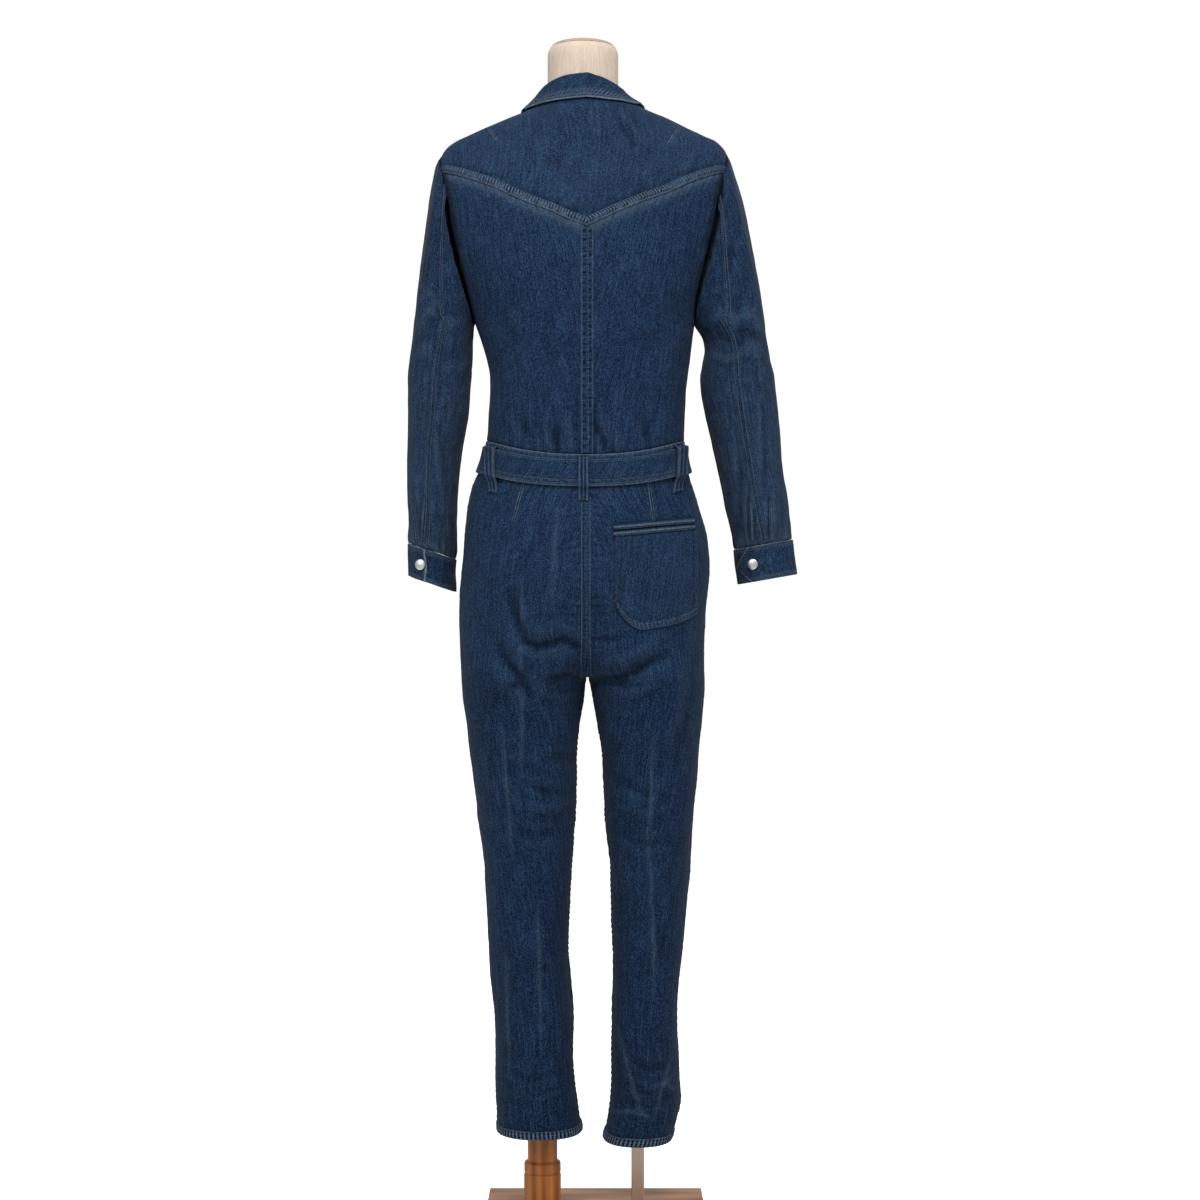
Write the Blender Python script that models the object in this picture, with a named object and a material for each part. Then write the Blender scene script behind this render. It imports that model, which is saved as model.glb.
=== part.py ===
"""A denim jumpsuit filled out by a limbless dress form on a plank.

Every piece of cloth is a closed wall between an outer and an inner grid of
points.  Both grids are read from a few smooth surfaces: the body (bodice, hips
and legs) and the two sleeves.  What is sewn on a panel is made from that
panel's points, moved out.

Axes: +Z is up and the garment's back faces -Y, so the wearer's left is at -X.
Sizes are millimetres, turned into metres when a mesh is made.  The origin lies
on the underside of the plank, below the garment's centre line.
"""

import math

import bmesh
import bpy
import numpy as np

MM = 0.001
LEFT, RIGHT = -1, 1
BACK, FRONT = -1, 1
SIDES = {LEFT: "left", RIGHT: "right"}

# Cloth and trim.
WALL = 1.6
SEAM = 0.3
ARMHOLE_GAP = 0.4
LAP = 0.4
TRIM = 1.4
HEM_BAND = 11.0
HEM_RAISE = 1.2
YOKE_RAISE = 0.6

# Belt, waistband and loops.
WAISTBAND = 39.0
BELT_HEIGHT = 36.0
BELT_DROP = 7.5
BELT_WALL = 3.0
BELT_OFF = 1.6
LOOP_WIDTH = 13.0
LOOP_WALL = 1.8
LOOP_CLEAR = 3.0
SNAP_DIAMETER = 15.0
SNAP_HEIGHT = 3.2
PATCH_OFF = 1.1
STRIP_OFF = 0.8

# Heights.
WAIST = 1089.0
BACK_DIP = 23.0
FRONT_DIP = 4.0
DIP_FADES = 955.0
ARMPIT = 1250.0
YOKE_END = 1450.0
SEAT_SPLITS = 866.0
CROTCH = 763.0
HEM = {LEFT: 151.0, RIGHT: 141.0}
HEM_LEVELS = 240.0
TIP = {LEFT: (200.0, 1478.0), RIGHT: (190.0, 1481.5)}
NECK_HALF = {LEFT: 70.0, RIGHT: 57.0}
NECK_BACK = 1551.0
NECK_FRONT = 1462.0

# A section's fullness: 2 is an ellipse, more is squarer.
FULLNESS = 2.3
TOP_ROUND = {BACK: 90.0, FRONT: 80.0}

# How many cells each grid has.
HALF_COLUMNS = 8
SHOULDER_COLUMNS = 5
SIDE_ROWS = 6
ARMHOLE_ROWS = 7
YOKE_ROWS = 5
CAP_ROWS = 5
CAP_FALLS = 1.6
CAP_SPREADS = 0.8
PROBE = 0.02
PROBE_MM = 1.5

# Dress form and stand.
FORM_BOTTOM = 842.0
FORM_EASE = 9.0
FORM_UNDER = {"shoulder": 4.0, "neck": 6.0}
NECK_RADIUS = 48.5
NECK_CENTRE = (-6.3, 10.0)
NECK_TOP = 1627.5
CAP_RADIUS = 44.0
CAP_HEIGHT = 8.5
BASE_SIZE = (303.0, 304.0, 30.0)
BASE_CENTRE = 10.8
POST_AT = -61.4
BAR_AT = 68.6
BAR_SIZE = (17.5, 9.0)


class Table:
    """Rows of named columns, read between the rows along a smooth curve."""

    def __init__(self, names, rows):
        data = np.array(sorted(rows), dtype=float)
        self.keys = data[:, 0]
        self.columns = dict(zip(names.split()[1:], data[:, 1:].T))

    def at(self, name, where):
        keys, values = self.keys, self.columns[name]
        slopes = np.gradient(values, keys)
        where = np.clip(where, keys[0], keys[-1])
        i = np.clip(np.searchsorted(keys, where, side="right") - 1, 0, len(keys) - 2)
        span = keys[i + 1] - keys[i]
        t = (where - keys[i]) / span
        t2, t3 = t * t, t * t * t
        return ((2 * t3 - 3 * t2 + 1) * values[i] + (t3 - 2 * t2 + t) * span * slopes[i]
                + (3 * t2 - 2 * t3) * values[i + 1] + (t3 - t2) * span * slopes[i + 1])


# The garment's half outline on each side, its inner leg line and its depths.
BODY = {
    LEFT: Table("z outer inner back front", [
        (151, 122, 8, 64, 66), (190, 124, 14, 64, 66), (235, 124.4, 19, 65, 66),
        (305, 125.5, 20, 66, 67), (350, 130, 23, 67, 68), (399, 134, 26, 70, 70),
        (463, 137.6, 23.5, 74, 72), (525, 142.6, 21, 79, 76), (566, 148, 19, 83, 79),
        (622, 153.6, 16, 88, 83), (678, 160.4, 13, 93, 87), (706, 163, 9, 96, 89),
        (736, 167.8, 4, 100, 92), (763, 170, 1, 105, 95), (800, 171.7, 0, 112, 99),
        (868, 174, 0, 123, 104), (903, 173, 0, 124, 106), (941, 170, 0, 118, 106),
        (975, 167, 0, 110, 105), (1003, 163, 0, 104, 104), (1030, 156, 0, 99, 102),
        (1045, 149, 0, 96, 101), (1062, 143, 0, 94, 100), (1087, 138, 0, 93, 101),
        (1119, 136, 0, 95, 104), (1179, 134.5, 0, 101, 110), (1228, 146, 0, 108, 113),
        (1250, 154, 0, 110, 113), (1280, 163, 0, 113, 111), (1320, 178, 0, 112, 107),
        (1380, 196, 0, 105, 97), (1425, 208, 0, 95, 88), (1475, 216, 0, 82, 78),
        (1570, 222, 0, 74, 72)]),
    RIGHT: Table("z outer inner back front", [
        (141, 114, 22, 64, 66), (155, 119, 25, 64, 66), (183, 125, 30, 65, 66),
        (235, 124.4, 32.4, 65, 66), (305, 122.5, 33.7, 66, 67), (354, 125.3, 34.8, 67, 68),
        (413, 132.3, 34, 70, 70), (463, 136.9, 32.4, 74, 72), (525, 140.3, 29.6, 79, 76),
        (566, 142.6, 26, 83, 79), (622, 147.9, 22.4, 88, 83), (672, 151, 18.7, 92, 87),
        (701, 154.4, 13.5, 96, 89), (735, 156.8, 7, 100, 92), (763, 158.2, 1, 105, 95),
        (805, 158, 0, 113, 99), (835, 158.4, 0, 118, 102), (868, 161, 0, 123, 104),
        (890, 164, 0, 124, 106), (915, 165.8, 0, 122, 106), (941, 164.5, 0, 118, 106),
        (965, 161, 0, 112, 105), (1003, 150.5, 0, 104, 104), (1030, 143, 0, 99, 102),
        (1045, 139, 0, 96, 101), (1062, 134.5, 0, 94, 100), (1087, 132, 0, 93, 101),
        (1119, 131.7, 0, 95, 104), (1179, 135.8, 0, 101, 110), (1228, 142.4, 0, 108, 113),
        (1250, 146, 0, 110, 113), (1280, 153, 0, 113, 111), (1320, 167, 0, 112, 107),
        (1380, 186, 0, 105, 97), (1425, 197, 0, 95, 88), (1475, 206, 0, 82, 78),
        (1570, 212, 0, 74, 72)]),
}

# The shoulder's ridge, where yoke and front meet.
RIDGE = {
    LEFT: Table("x height", [
        (0, 1582), (40, 1566), (74, 1543.5), (106, 1530), (133, 1519), (160, 1507),
        (180, 1498), (192, 1489), (200, 1478), (216, 1450)]),
    RIGHT: Table("x height", [
        (0, 1582), (40, 1566), (74, 1543.5), (106, 1530), (133, 1517.5), (160, 1505),
        (178, 1495.5), (185, 1488), (190, 1481.5), (210, 1448)]),
}

# How far out the armhole lies, at the back and at the front.
ARMHOLE = {
    LEFT: Table("z back front", [
        (1250, 154, 154), (1266, 155.5, 153.5), (1297, 163, 158), (1347, 176, 168),
        (1395, 185, 178), (1425, 190, 186), (1450, 195.5, 193.5), (1464, 198.2, 197.5),
        (1472, 199.5, 199.3), (1478, 200, 200)]),
    RIGHT: Table("z back front", [
        (1250, 146, 146), (1266, 144, 143), (1297, 149, 146), (1347, 162, 154),
        (1395, 173, 166), (1425, 179, 175), (1450, 184.5, 182.5), (1466, 188, 187),
        (1475, 189.4, 189.2), (1481.5, 190, 190)]),
}

# The yoke's lower seam: a shallow V with its point at the centre.
YOKE_SEAM = {
    LEFT: Table("x height", [
        (0, 1366), (24, 1375), (47, 1386), (88, 1403), (121, 1420), (156, 1435),
        (178, 1444), (195.5, 1450)]),
    RIGHT: Table("x height", [
        (0, 1366), (24, 1377.5), (48, 1389), (78, 1402), (112, 1416), (140, 1431),
        (160, 1440), (184.5, 1450)]),
}

# Sleeves and cuffs: outline seen from behind, depths, forward lean of the arm
# and how much lower the side next to the body hangs.
SLEEVE = {
    LEFT: Table("z outer inner back front lean droop", [
        (884, 245, 181, 44, 44, 16, 22), (906, 245, 181, 44, 44, 16, 22),
        (951, 246, 181, 46, 46, 16, 22), (960, 246, 180, 49, 49, 15, 20),
        (982, 246, 179, 52, 52, 14, 14), (1016, 248, 178, 54, 54, 13, 8),
        (1074, 248, 172.7, 56, 56, 10, 0), (1125, 246.5, 163.7, 58, 58, 7, 0),
        (1179, 243.7, 159, 60, 60, 4, 0), (1228, 238.5, 156.5, 63, 62, 1, 0),
        (1250, 236.5, 154, 65, 64, 0, 0), (1282, 233.4, 150, 68, 66, 0, 0),
        (1317, 230, 150, 69, 66, 0, 0), (1360, 224.6, 150, 67, 64, 0, 0),
        (1398, 219, 150, 62, 59, 0, 0), (1432, 213.7, 150, 52, 50, 0, 0),
        (1455, 208.8, 150, 38, 38, 0, 0), (1465, 206, 150, 29, 29, 0, 0),
        (1473, 203, 150, 16, 16, 0, 0), (1478, 200.6, 150, 3, 3, 0, 0)]),
    RIGHT: Table("z outer inner back front lean droop", [
        (890, 289.5, 211, 40, 40, 16, 14), (908, 287, 207, 40, 40, 16, 14),
        (955, 280.8, 201, 42, 42, 16, 14), (966, 279.8, 200, 46, 46, 15, 13),
        (1009, 274.5, 188.6, 50, 50, 13, 6), (1038, 269.5, 182, 51, 51, 11, 2),
        (1108, 262.7, 166, 54, 54, 8, 0), (1168, 256, 155, 58, 58, 4, 0),
        (1228, 245, 158, 61, 60, 1, 0), (1250, 242, 146, 63, 62, 0, 0),
        (1289, 237, 146, 66, 64, 0, 0), (1338, 228.6, 146, 66, 63, 0, 0),
        (1383, 220, 146, 62, 59, 0, 0), (1424, 210, 146, 54, 51, 0, 0),
        (1455, 200, 146, 38, 38, 0, 0), (1468, 195.6, 146, 28, 28, 0, 0),
        (1476, 193, 146, 16, 16, 0, 0), (1481.5, 190.6, 146, 3, 3, 0, 0)]),
}
CUFF_TOP = {LEFT: 951.0, RIGHT: 956.0}
CUFF_BOTTOM = {LEFT: 906.0, RIGHT: 908.0}
# Where a cuff's lap ends round the arm, how far its point runs on and where its
# snap sits; and how much of the round it laps.
CUFF_END = {LEFT: (-0.44, 0.03, -0.385), RIGHT: (-0.70, 0.2, -0.655)}
CUFF_LAP = 0.16
SLEEVE_ROWS = {
    LEFT: (1195, 1160, 1125, 1095, 1065, 1035, 1010, 985, 966, 951),
    RIGHT: (1200, 1172, 1145, 1110, 1075, 1040, 1012, 988, 970, 956),
}
UNDER_COLUMNS = {LEFT: (3, 6), RIGHT: (3, 5)}

# Leg rows below the waistband, closer together where the seat folds.
LEG_ROWS = (1028, 1000, 970, 936, 905, 884, 866, 849, 833, 818, 804, 790, 776, 763,
            748, 730, 708, 680, 645, 600, 545, 490, 435, 375, 310, 245, 195)

# The largest folds: from one point to another, half width and depth.  A
# trough has a negative depth.  x is signed, as seen from behind.
FOLDS = [
    # face, x0, z0, x1, z1, half width, depth
    (BACK, -97, 872, -64, 812, 12, -7.0),
    (BACK, -64, 812, -6, 806, 11, -6.0),
    (BACK, -119, 812, -73, 752, 12, -5.5),
    (BACK, 12, 762, 62, 778, 12, -7.0),
    (BACK, 62, 778, 104, 804, 12, -5.0),
    (BACK, -80, 840, -20, 838, 14, 4.0),
    (BACK, 20, 800, 90, 830, 15, 4.0),
    (BACK, 130, 800, 84, 640, 14, -3.5),
    (BACK, -60, 626, -20, 630, 12, -4.5),
    (BACK, -66, 600, -24, 596, 12, 3.5),
    (BACK, 42, 636, 100, 612, 14, -3.0),
    (BACK, 14, 1118, 26, 1072, 10, -4.0),
    (BACK, -46, 1104, -38, 1070, 10, -3.5),
    (BACK, -8, 1110, -14, 1072, 10, 3.0),
    (FRONT, -60, 870, -8, 800, 13, -6.0),
    (FRONT, 60, 870, 8, 800, 13, -6.0),
    (FRONT, -110, 790, -40, 760, 14, -4.0),
    (FRONT, 110, 790, 40, 760, 14, -4.0),
    (FRONT, -100, 560, -40, 575, 14, -4.0),
    (FRONT, 50, 570, 105, 556, 14, -4.0),
]

# Collar round the neck, from the centre back (0) to the centre front (1):
# rise of the stand, how far out its fold lies, and where the fall's edge ends.
COLLAR = {
    LEFT: Table("share rise reach edge_x edge_z", [
        (0.0, 24.5, 2, 0, 1543), (0.1, 24.5, 2, 17.5, 1542), (0.2, 21.3, 1, 35, 1541), (0.3, 17.6, -2, 54, 1540),
        (0.4, 14, -4, 72, 1539), (0.5, 13, -5, 89, 1537.2), (0.6, 11, 0, 92, 1520), (0.7, 10, 5, 86, 1498),
        (0.85, 12, 8, 71, 1460), (1.0, 14, 8, 42, 1424)]),
    RIGHT: Table("share rise reach edge_x edge_z", [
        (0.0, 24.5, 2, 0, 1543), (0.1, 19.5, 1, 15, 1542), (0.2, 13.2, -1, 30, 1541), (0.3, 7.5, -3, 46, 1541),
        (0.4, 5.5, -6, 62, 1541), (0.5, 5.5, -6, 76, 1542.7), (0.6, 6, -2, 80, 1524), (0.7, 9, 4, 76, 1500),
        (0.85, 12, 8, 63, 1460), (1.0, 14, 8, 40, 1424)]),
}
COLLAR_LIFT = 4.4
COLLAR_COLUMNS = 14

# Turned post: radius against height.
POST = [(25.2, 30.3), (25.2, 91.0), (23.8, 92.4), (24.8, 94.0), (24.8, 106.6), (20.2, 109.5),
        (21.0, FORM_BOTTOM - SEAM)]

FINISHES = {
    # name: colour, roughness, metallic
    "denim": ((0.018, 0.039, 0.087), 0.9, 0.0),
    "snap_metal": ((0.72, 0.74, 0.74), 0.28, 1.0),
    "linen": ((0.68, 0.55, 0.44), 0.85, 0.0),
    "post_wood": ((0.20, 0.075, 0.024), 0.4, 0.0),
    "base_wood": ((0.25, 0.12, 0.055), 0.45, 0.0),
    "brushed_bar": ((0.33, 0.27, 0.24), 0.35, 1.0),
}


# ---------------------------------------------------------------- surfaces


def signed_power(value, power):
    return np.sign(value) * np.abs(value) ** power


def crotch_share(z):
    """0 where the hips are one ring, 1 where each leg is a ring of its own."""
    down = np.clip((SEAT_SPLITS - z) / (SEAT_SPLITS - CROTCH), 0, 1)
    return down ** 2


def end_angle(z):
    """The section angle at the centre seam or the inner leg seam."""
    return math.pi - np.arccos(crotch_share(z) ** (FULLNESS / 2))


def shoulder_rounding(side, face, x, z):
    drop = np.clip(RIDGE[side].at("height", np.abs(x)) - z, 0, TOP_ROUND[face])
    return np.sqrt(1 - (1 - drop / TOP_ROUND[face]) ** 2)


def body_base(side, face, z, angle):
    """A point of the plain body: angle 0 is the side seam, pi/2 the middle."""
    cut = BODY[side]
    outer, inner = cut.at("outer", z), np.maximum(cut.at("inner", z), 0)
    depth = cut.at("back" if face == BACK else "front", z)
    half = (outer - inner) / (1 + crotch_share(z))
    x = outer - half + half * signed_power(np.cos(angle), 2 / FULLNESS)
    round_over = shoulder_rounding(side, face, x, z)
    y = depth * signed_power(np.sin(angle), 2 / FULLNESS) * round_over
    return np.stack([side * x, face * y, np.broadcast_to(z, x.shape)], axis=-1)


def unit(vectors):
    return vectors / np.linalg.norm(vectors, axis=-1, keepdims=True)


def body_normal(side, face, z, angle):
    level = z
    clear = RIDGE[side].at("height", np.abs(body_base(side, face, z, angle)[..., 0])) - 2 * PROBE_MM
    z = np.minimum(z, clear)
    round_it = body_base(side, face, z, angle + PROBE) - body_base(side, face, z, angle - PROBE)
    up = body_base(side, face, z + PROBE_MM, angle) - body_base(side, face, z - PROBE_MM, angle)
    normal = side * face * unit(np.cross(round_it, up))
    drop = clear + 2 * PROBE_MM - level
    normal[..., 1] *= np.clip(drop / (4 * PROBE_MM), 0, 1)
    return unit(normal)


def fold_depth(face, x, z):
    """How far the folds move the cloth out (or in) at a place."""
    moved = np.zeros(np.shape(x))
    for fold_face, x0, z0, x1, z1, half_width, depth in FOLDS:
        if fold_face != face:
            continue
        run = np.array([x1 - x0, z1 - z0], dtype=float)
        length = math.hypot(*run)
        along = ((x - x0) * run[0] + (z - z0) * run[1]) / length ** 2
        across = ((x - x0) * run[1] - (z - z0) * run[0]) / length
        past = length * (np.abs(along - 0.5) - 0.5).clip(0)
        moved += depth * np.exp(-(across / half_width) ** 2 - (past / half_width) ** 2)
    return moved


def body_walls(side, face, z, angle, raise_by=0.0, wall=WALL, folded=True):
    """Outer and inner points of cloth that follows the body."""
    base = body_base(side, face, z, angle)
    normal = body_normal(side, face, z, angle)
    lift = np.broadcast_to(raise_by, z.shape).copy()
    if folded:
        lift += fold_depth(face, base[..., 0], base[..., 2])
    return base + normal * lift[..., None], base + normal * (lift - wall)[..., None]


def angle_at(side, x, z):
    """The section angle of a torso or hip point at this distance out."""
    share = np.clip(np.abs(x) / BODY[side].at("outer", z), 0, 1)
    return np.arccos(share ** (FULLNESS / 2))


def waist_at(face, angle, below=0.0):
    dip = BACK_DIP if face == BACK else FRONT_DIP
    return WAIST - below - dip * np.sin(angle) ** 2


def sleeve_base(side, z, around):
    """A sleeve point: around is -1 at the back armhole, 0 outside, 1 in front."""
    cut = SLEEVE[side]
    outer = np.array([cut.at("outer", z), cut.at("lean", z)])
    face_is_back = around < 0
    reach = np.where(face_is_back, cut.at("back", z), cut.at("front", z))
    above = z > ARMPIT
    hole = np.where(face_is_back, ARMHOLE[side].at("back", z), ARMHOLE[side].at("front", z))
    seam_angle = angle_at(side, hole, z)
    seam = np.where(face_is_back, body_base(side, BACK, z, seam_angle)[..., 1],
                    body_base(side, FRONT, z, seam_angle)[..., 1])
    start = np.array([np.where(above, hole, cut.at("inner", z)),
                      np.where(above, seam, cut.at("lean", z))])
    sign = np.where(face_is_back, -1, 1)
    start_depth = np.abs(start[1] - outer[1])
    reach = np.maximum(reach, start_depth)
    out = 0.55 * (outer[0] - start[0]) * start_depth / np.maximum(reach, 1)
    first = start + np.array([out, sign * 4 / 3 * (reach - start_depth)])
    second = outer + np.array([0 * z, sign * (4 / 3 * reach - 0.783 * start_depth)])
    t = 1 - np.abs(around)
    flat = ((1 - t) ** 3 * start + 3 * t * (1 - t) ** 2 * first
            + 3 * t * t * (1 - t) * second + t ** 3 * outer)
    inward = (outer[0] - flat[0]) / np.maximum(outer[0] - start[0], 1)
    drop = cut.at("droop", z) * inward
    return np.stack([side * flat[0], flat[1], z - drop], axis=-1)


def sleeve_normal(side, z, around):
    z = np.minimum(z, TIP[side][1] - 2 * PROBE_MM)
    back = np.abs(around) > 1 - PROBE
    middle = np.where(back, np.sign(around) * (1 - PROBE), around)
    round_it = sleeve_base(side, z, middle + PROBE) - sleeve_base(side, z, middle - PROBE)
    up = sleeve_base(side, z + PROBE_MM, middle) - sleeve_base(side, z - PROBE_MM, middle)
    return side * unit(np.cross(round_it, up))


# ------------------------------------------------------------ mesh making


def finish_material(name):
    """The Principled material of a finish, made once."""
    if name in bpy.data.materials:
        return bpy.data.materials[name]
    colour, roughness, metallic = FINISHES[name]
    material = bpy.data.materials.new(name)
    material.use_nodes = True
    shader = material.node_tree.nodes["Principled BSDF"]
    shader.inputs["Base Color"].default_value = (*colour, 1.0)
    shader.inputs["Roughness"].default_value = roughness
    shader.inputs["Metallic"].default_value = metallic
    return material


def add_object(name, points, faces, finish):
    """Makes one named object of points in millimetres, its faces turned out."""
    mesh = bpy.data.meshes.new(name)
    mesh.from_pydata((np.asarray(points) * MM).tolist(), [], faces)
    work = bmesh.new()
    work.from_mesh(mesh)
    bmesh.ops.recalc_face_normals(work, faces=work.faces)
    if work.calc_volume(signed=True) < 0:
        bmesh.ops.reverse_faces(work, faces=work.faces)
    work.to_mesh(mesh)
    work.free()
    mesh.shade_smooth()
    mesh.set_sharp_from_angle(angle=math.radians(40))
    mesh.materials.append(finish_material(finish))
    obj = bpy.data.objects.new(name, mesh)
    bpy.context.scene.collection.objects.link(obj)
    return obj


def inward(edge, neighbour):
    """Which way a seam's points move in: square to the seam, over the cloth."""
    along = unit(np.gradient(edge, axis=0))
    over = neighbour - edge
    return unit(over - along * np.sum(over * along, axis=-1, keepdims=True))


def draw_in(grid, rows_by, columns_by):
    """Moves a grid's edges in, so that pieces stay apart at their seams."""
    moved = grid.copy()
    for end, start in ((0, 1), (-1, -2)):
        moved[end] += rows_by * inward(grid[end], grid[start])
        moved[:, end] += columns_by * inward(grid[:, end], grid[:, start])
    return moved


def wall_between(name, outer, inner, finish="denim", gap=SEAM / 2, end_gap=SEAM / 2):
    """A closed wall between two grids (rows, columns, 3), drawn in at its seams."""
    if gap:
        outer, inner = draw_in(outer, end_gap, gap), draw_in(inner, end_gap, gap)
    rows, columns = outer.shape[:2]
    layer = rows * columns

    def at(deep, row, column):
        return deep * layer + row * columns + column

    faces = []
    for row in range(rows - 1):
        for column in range(columns - 1):
            for deep in (0, 1):
                loop = [at(deep, row, column), at(deep, row, column + 1),
                        at(deep, row + 1, column + 1), at(deep, row + 1, column)]
                faces.append(loop if deep == 0 else loop[::-1])
    for column in range(columns - 1):
        for row in (0, rows - 1):
            faces.append([at(0, row, column), at(0, row, column + 1),
                          at(1, row, column + 1), at(1, row, column)])
    for row in range(rows - 1):
        for column in (0, columns - 1):
            faces.append([at(0, row, column), at(0, row + 1, column),
                          at(1, row + 1, column), at(1, row, column)])
    points = np.concatenate([outer.reshape(-1, 3), inner.reshape(-1, 3)])
    return add_object(name, points, faces, finish)


def turned(name, profile, finish, segments=24, place=(0, 0, 0), axis=(0, 0, 1)):
    """A solid turned from (radius, height) pairs about an axis."""
    axis = unit(np.array(axis, dtype=float))
    helper = np.array([1.0, 0, 0]) if abs(axis[0]) < 0.9 else np.array([0, 1.0, 0])
    across = unit(np.cross(axis, helper))
    other = np.cross(axis, across)
    points = []
    for radius, height in profile:
        for step in range(segments):
            turn = 2 * math.pi * step / segments
            points.append(np.array(place) + height * axis
                          + radius * (math.cos(turn) * across + math.sin(turn) * other))
    faces = [list(range(segments)), list(range(len(points) - segments, len(points)))]
    for ring in range(len(profile) - 1):
        for step in range(segments):
            ahead = (step + 1) % segments
            low, high = ring * segments, (ring + 1) * segments
            faces.append([low + step, low + ahead, high + ahead, high + step])
    return add_object(name, points, faces, finish)


def block(name, low, high, finish, bevel=0.0):
    """A box between two corners, its edges rounded by the bevel."""
    mesh = bpy.data.meshes.new(name)
    work = bmesh.new()
    bmesh.ops.create_cube(work, size=1.0)
    low, high = np.array(low, dtype=float), np.array(high, dtype=float)
    for vertex in work.verts:
        vertex.co = [float(c) for c in ((low + high) / 2 + np.array(vertex.co) * (high - low)) * MM]
    if bevel:
        bmesh.ops.bevel(work, geom=work.edges[:], offset=bevel * MM, segments=2, affect="EDGES")
    work.to_mesh(mesh)
    work.free()
    mesh.materials.append(finish_material(finish))
    obj = bpy.data.objects.new(name, mesh)
    bpy.context.scene.collection.objects.link(obj)
    return obj


# ---------------------------------------------------------------- bodice


def coons(bottom, top, side, centre):
    """Fills a four-sided patch; rows run from the bottom to the top edge."""
    u = np.linspace(0, 1, len(bottom))[None, :, None]
    v = np.linspace(0, 1, len(side))[:, None, None]
    corners = ((1 - u) * (1 - v) * bottom[0] + u * (1 - v) * bottom[-1]
               + (1 - u) * v * top[0] + u * v * top[-1])
    return ((1 - v) * bottom[None] + v * top[None]
            + (1 - u) * side[:, None] + u * centre[:, None] - corners)


def column_angles():
    return np.linspace(0, math.pi / 2, HALF_COLUMNS + 1)


def armhole_rows(side):
    """Heights of the armhole's points, from the armpit to the shoulder tip."""
    lower = np.linspace(ARMPIT, YOKE_END, ARMHOLE_ROWS + 1)
    rise = np.linspace(0, 1, YOKE_ROWS + 1)
    return lower, YOKE_END + (TIP[side][1] - YOKE_END) * (1 - (1 - rise) ** 1.6)


def waist_edge(side, face):
    """The bodice's lower edge as (distance out, height), side seam first."""
    angle = column_angles()
    z = waist_at(face, angle)
    return np.stack([np.abs(body_base(side, face, z, angle)[:, 0]), z], axis=-1)


def side_edge(side, face, with_yoke):
    """Side seam, then armhole, as (distance out, height)."""
    below = np.linspace(WAIST, ARMPIT, SIDE_ROWS + 1)[:-1]
    lower, upper = armhole_rows(side)
    hole = np.concatenate([lower, upper[1:]]) if with_yoke else lower
    column = "back" if face == BACK else "front"
    out = np.concatenate([BODY[side].at("outer", below), ARMHOLE[side].at(column, hole)])
    return np.stack([out, np.concatenate([below, hole])], axis=-1)


def centre_edge(side, bottom, top):
    """A centre seam with its rows spread like those of the side edge."""
    along = np.concatenate([[0], np.cumsum(np.linalg.norm(np.diff(side, axis=0), axis=1))])
    z = bottom + (top - bottom) * along / along[-1]
    return np.stack([np.zeros(len(z)), z], axis=-1)


def yoke_seam_edge(side):
    out = ARMHOLE[side].at("back", YOKE_END) * np.cos(column_angles()) ** (2 / FULLNESS)
    return np.stack([out, YOKE_SEAM[side].at("height", out)], axis=-1)


def shoulder_edge(side, face):
    """Shoulder seam from the tip to the neck, then the neckline to its middle."""
    out = np.linspace(TIP[side][0], NECK_HALF[side], SHOULDER_COLUMNS + 1)
    shoulder = np.stack([out, RIDGE[side].at("height", out)], axis=-1)
    turn = np.linspace(0, math.pi / 2, HALF_COLUMNS - SHOULDER_COLUMNS + 1)[1:]
    start = RIDGE[side].at("height", NECK_HALF[side])
    middle = NECK_BACK if face == BACK else NECK_FRONT
    neck = np.stack([NECK_HALF[side] * np.cos(turn), middle + (start - middle) * np.cos(turn)], axis=-1)
    return np.concatenate([shoulder, neck])


def flat_to_body(side, face, patch):
    """Section angles of a patch of (distance out, height)."""
    return patch[..., 1], angle_at(side, patch[..., 0], patch[..., 1])


def bodice_back(side):
    bottom, top = waist_edge(side, BACK), yoke_seam_edge(side)
    edge = side_edge(side, BACK, with_yoke=False)
    patch = coons(bottom, top, edge, centre_edge(edge, bottom[-1, 1], top[-1, 1]))
    outer, inner = body_walls(side, BACK, *flat_to_body(side, BACK, patch))
    wall_between(f"back_{SIDES[side]}", outer, inner)


def yoke():
    """Both halves of the yoke in one piece, its lower edge lapped proud."""
    halves = {}
    for side in SIDES:
        hole_z = armhole_rows(side)[1]
        edge = np.stack([ARMHOLE[side].at("back", hole_z), hole_z], axis=-1)
        bottom, top = yoke_seam_edge(side), shoulder_edge(side, BACK)
        patch = coons(bottom, top, edge, centre_edge(edge, bottom[-1, 1], top[-1, 1]))
        proud = np.zeros(patch.shape[:2])
        proud[0] = YOKE_RAISE
        halves[side] = body_walls(side, BACK, *flat_to_body(side, BACK, patch), proud)
    outer, inner = (np.concatenate([halves[LEFT][deep], halves[RIGHT][deep][:, -2::-1]], axis=1)
                    for deep in (0, 1))
    wall_between("yoke_back", outer, inner)


def bodice_front(side):
    bottom, top = waist_edge(side, FRONT), shoulder_edge(side, FRONT)
    edge = side_edge(side, FRONT, with_yoke=True)
    patch = coons(bottom, top, edge, centre_edge(edge, bottom[-1, 1], top[-1, 1]))
    outer, inner = body_walls(side, FRONT, *flat_to_body(side, FRONT, patch))
    wall_between(f"front_{SIDES[side]}", outer, inner)


# ---------------------------------------------------------------- collar


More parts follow.
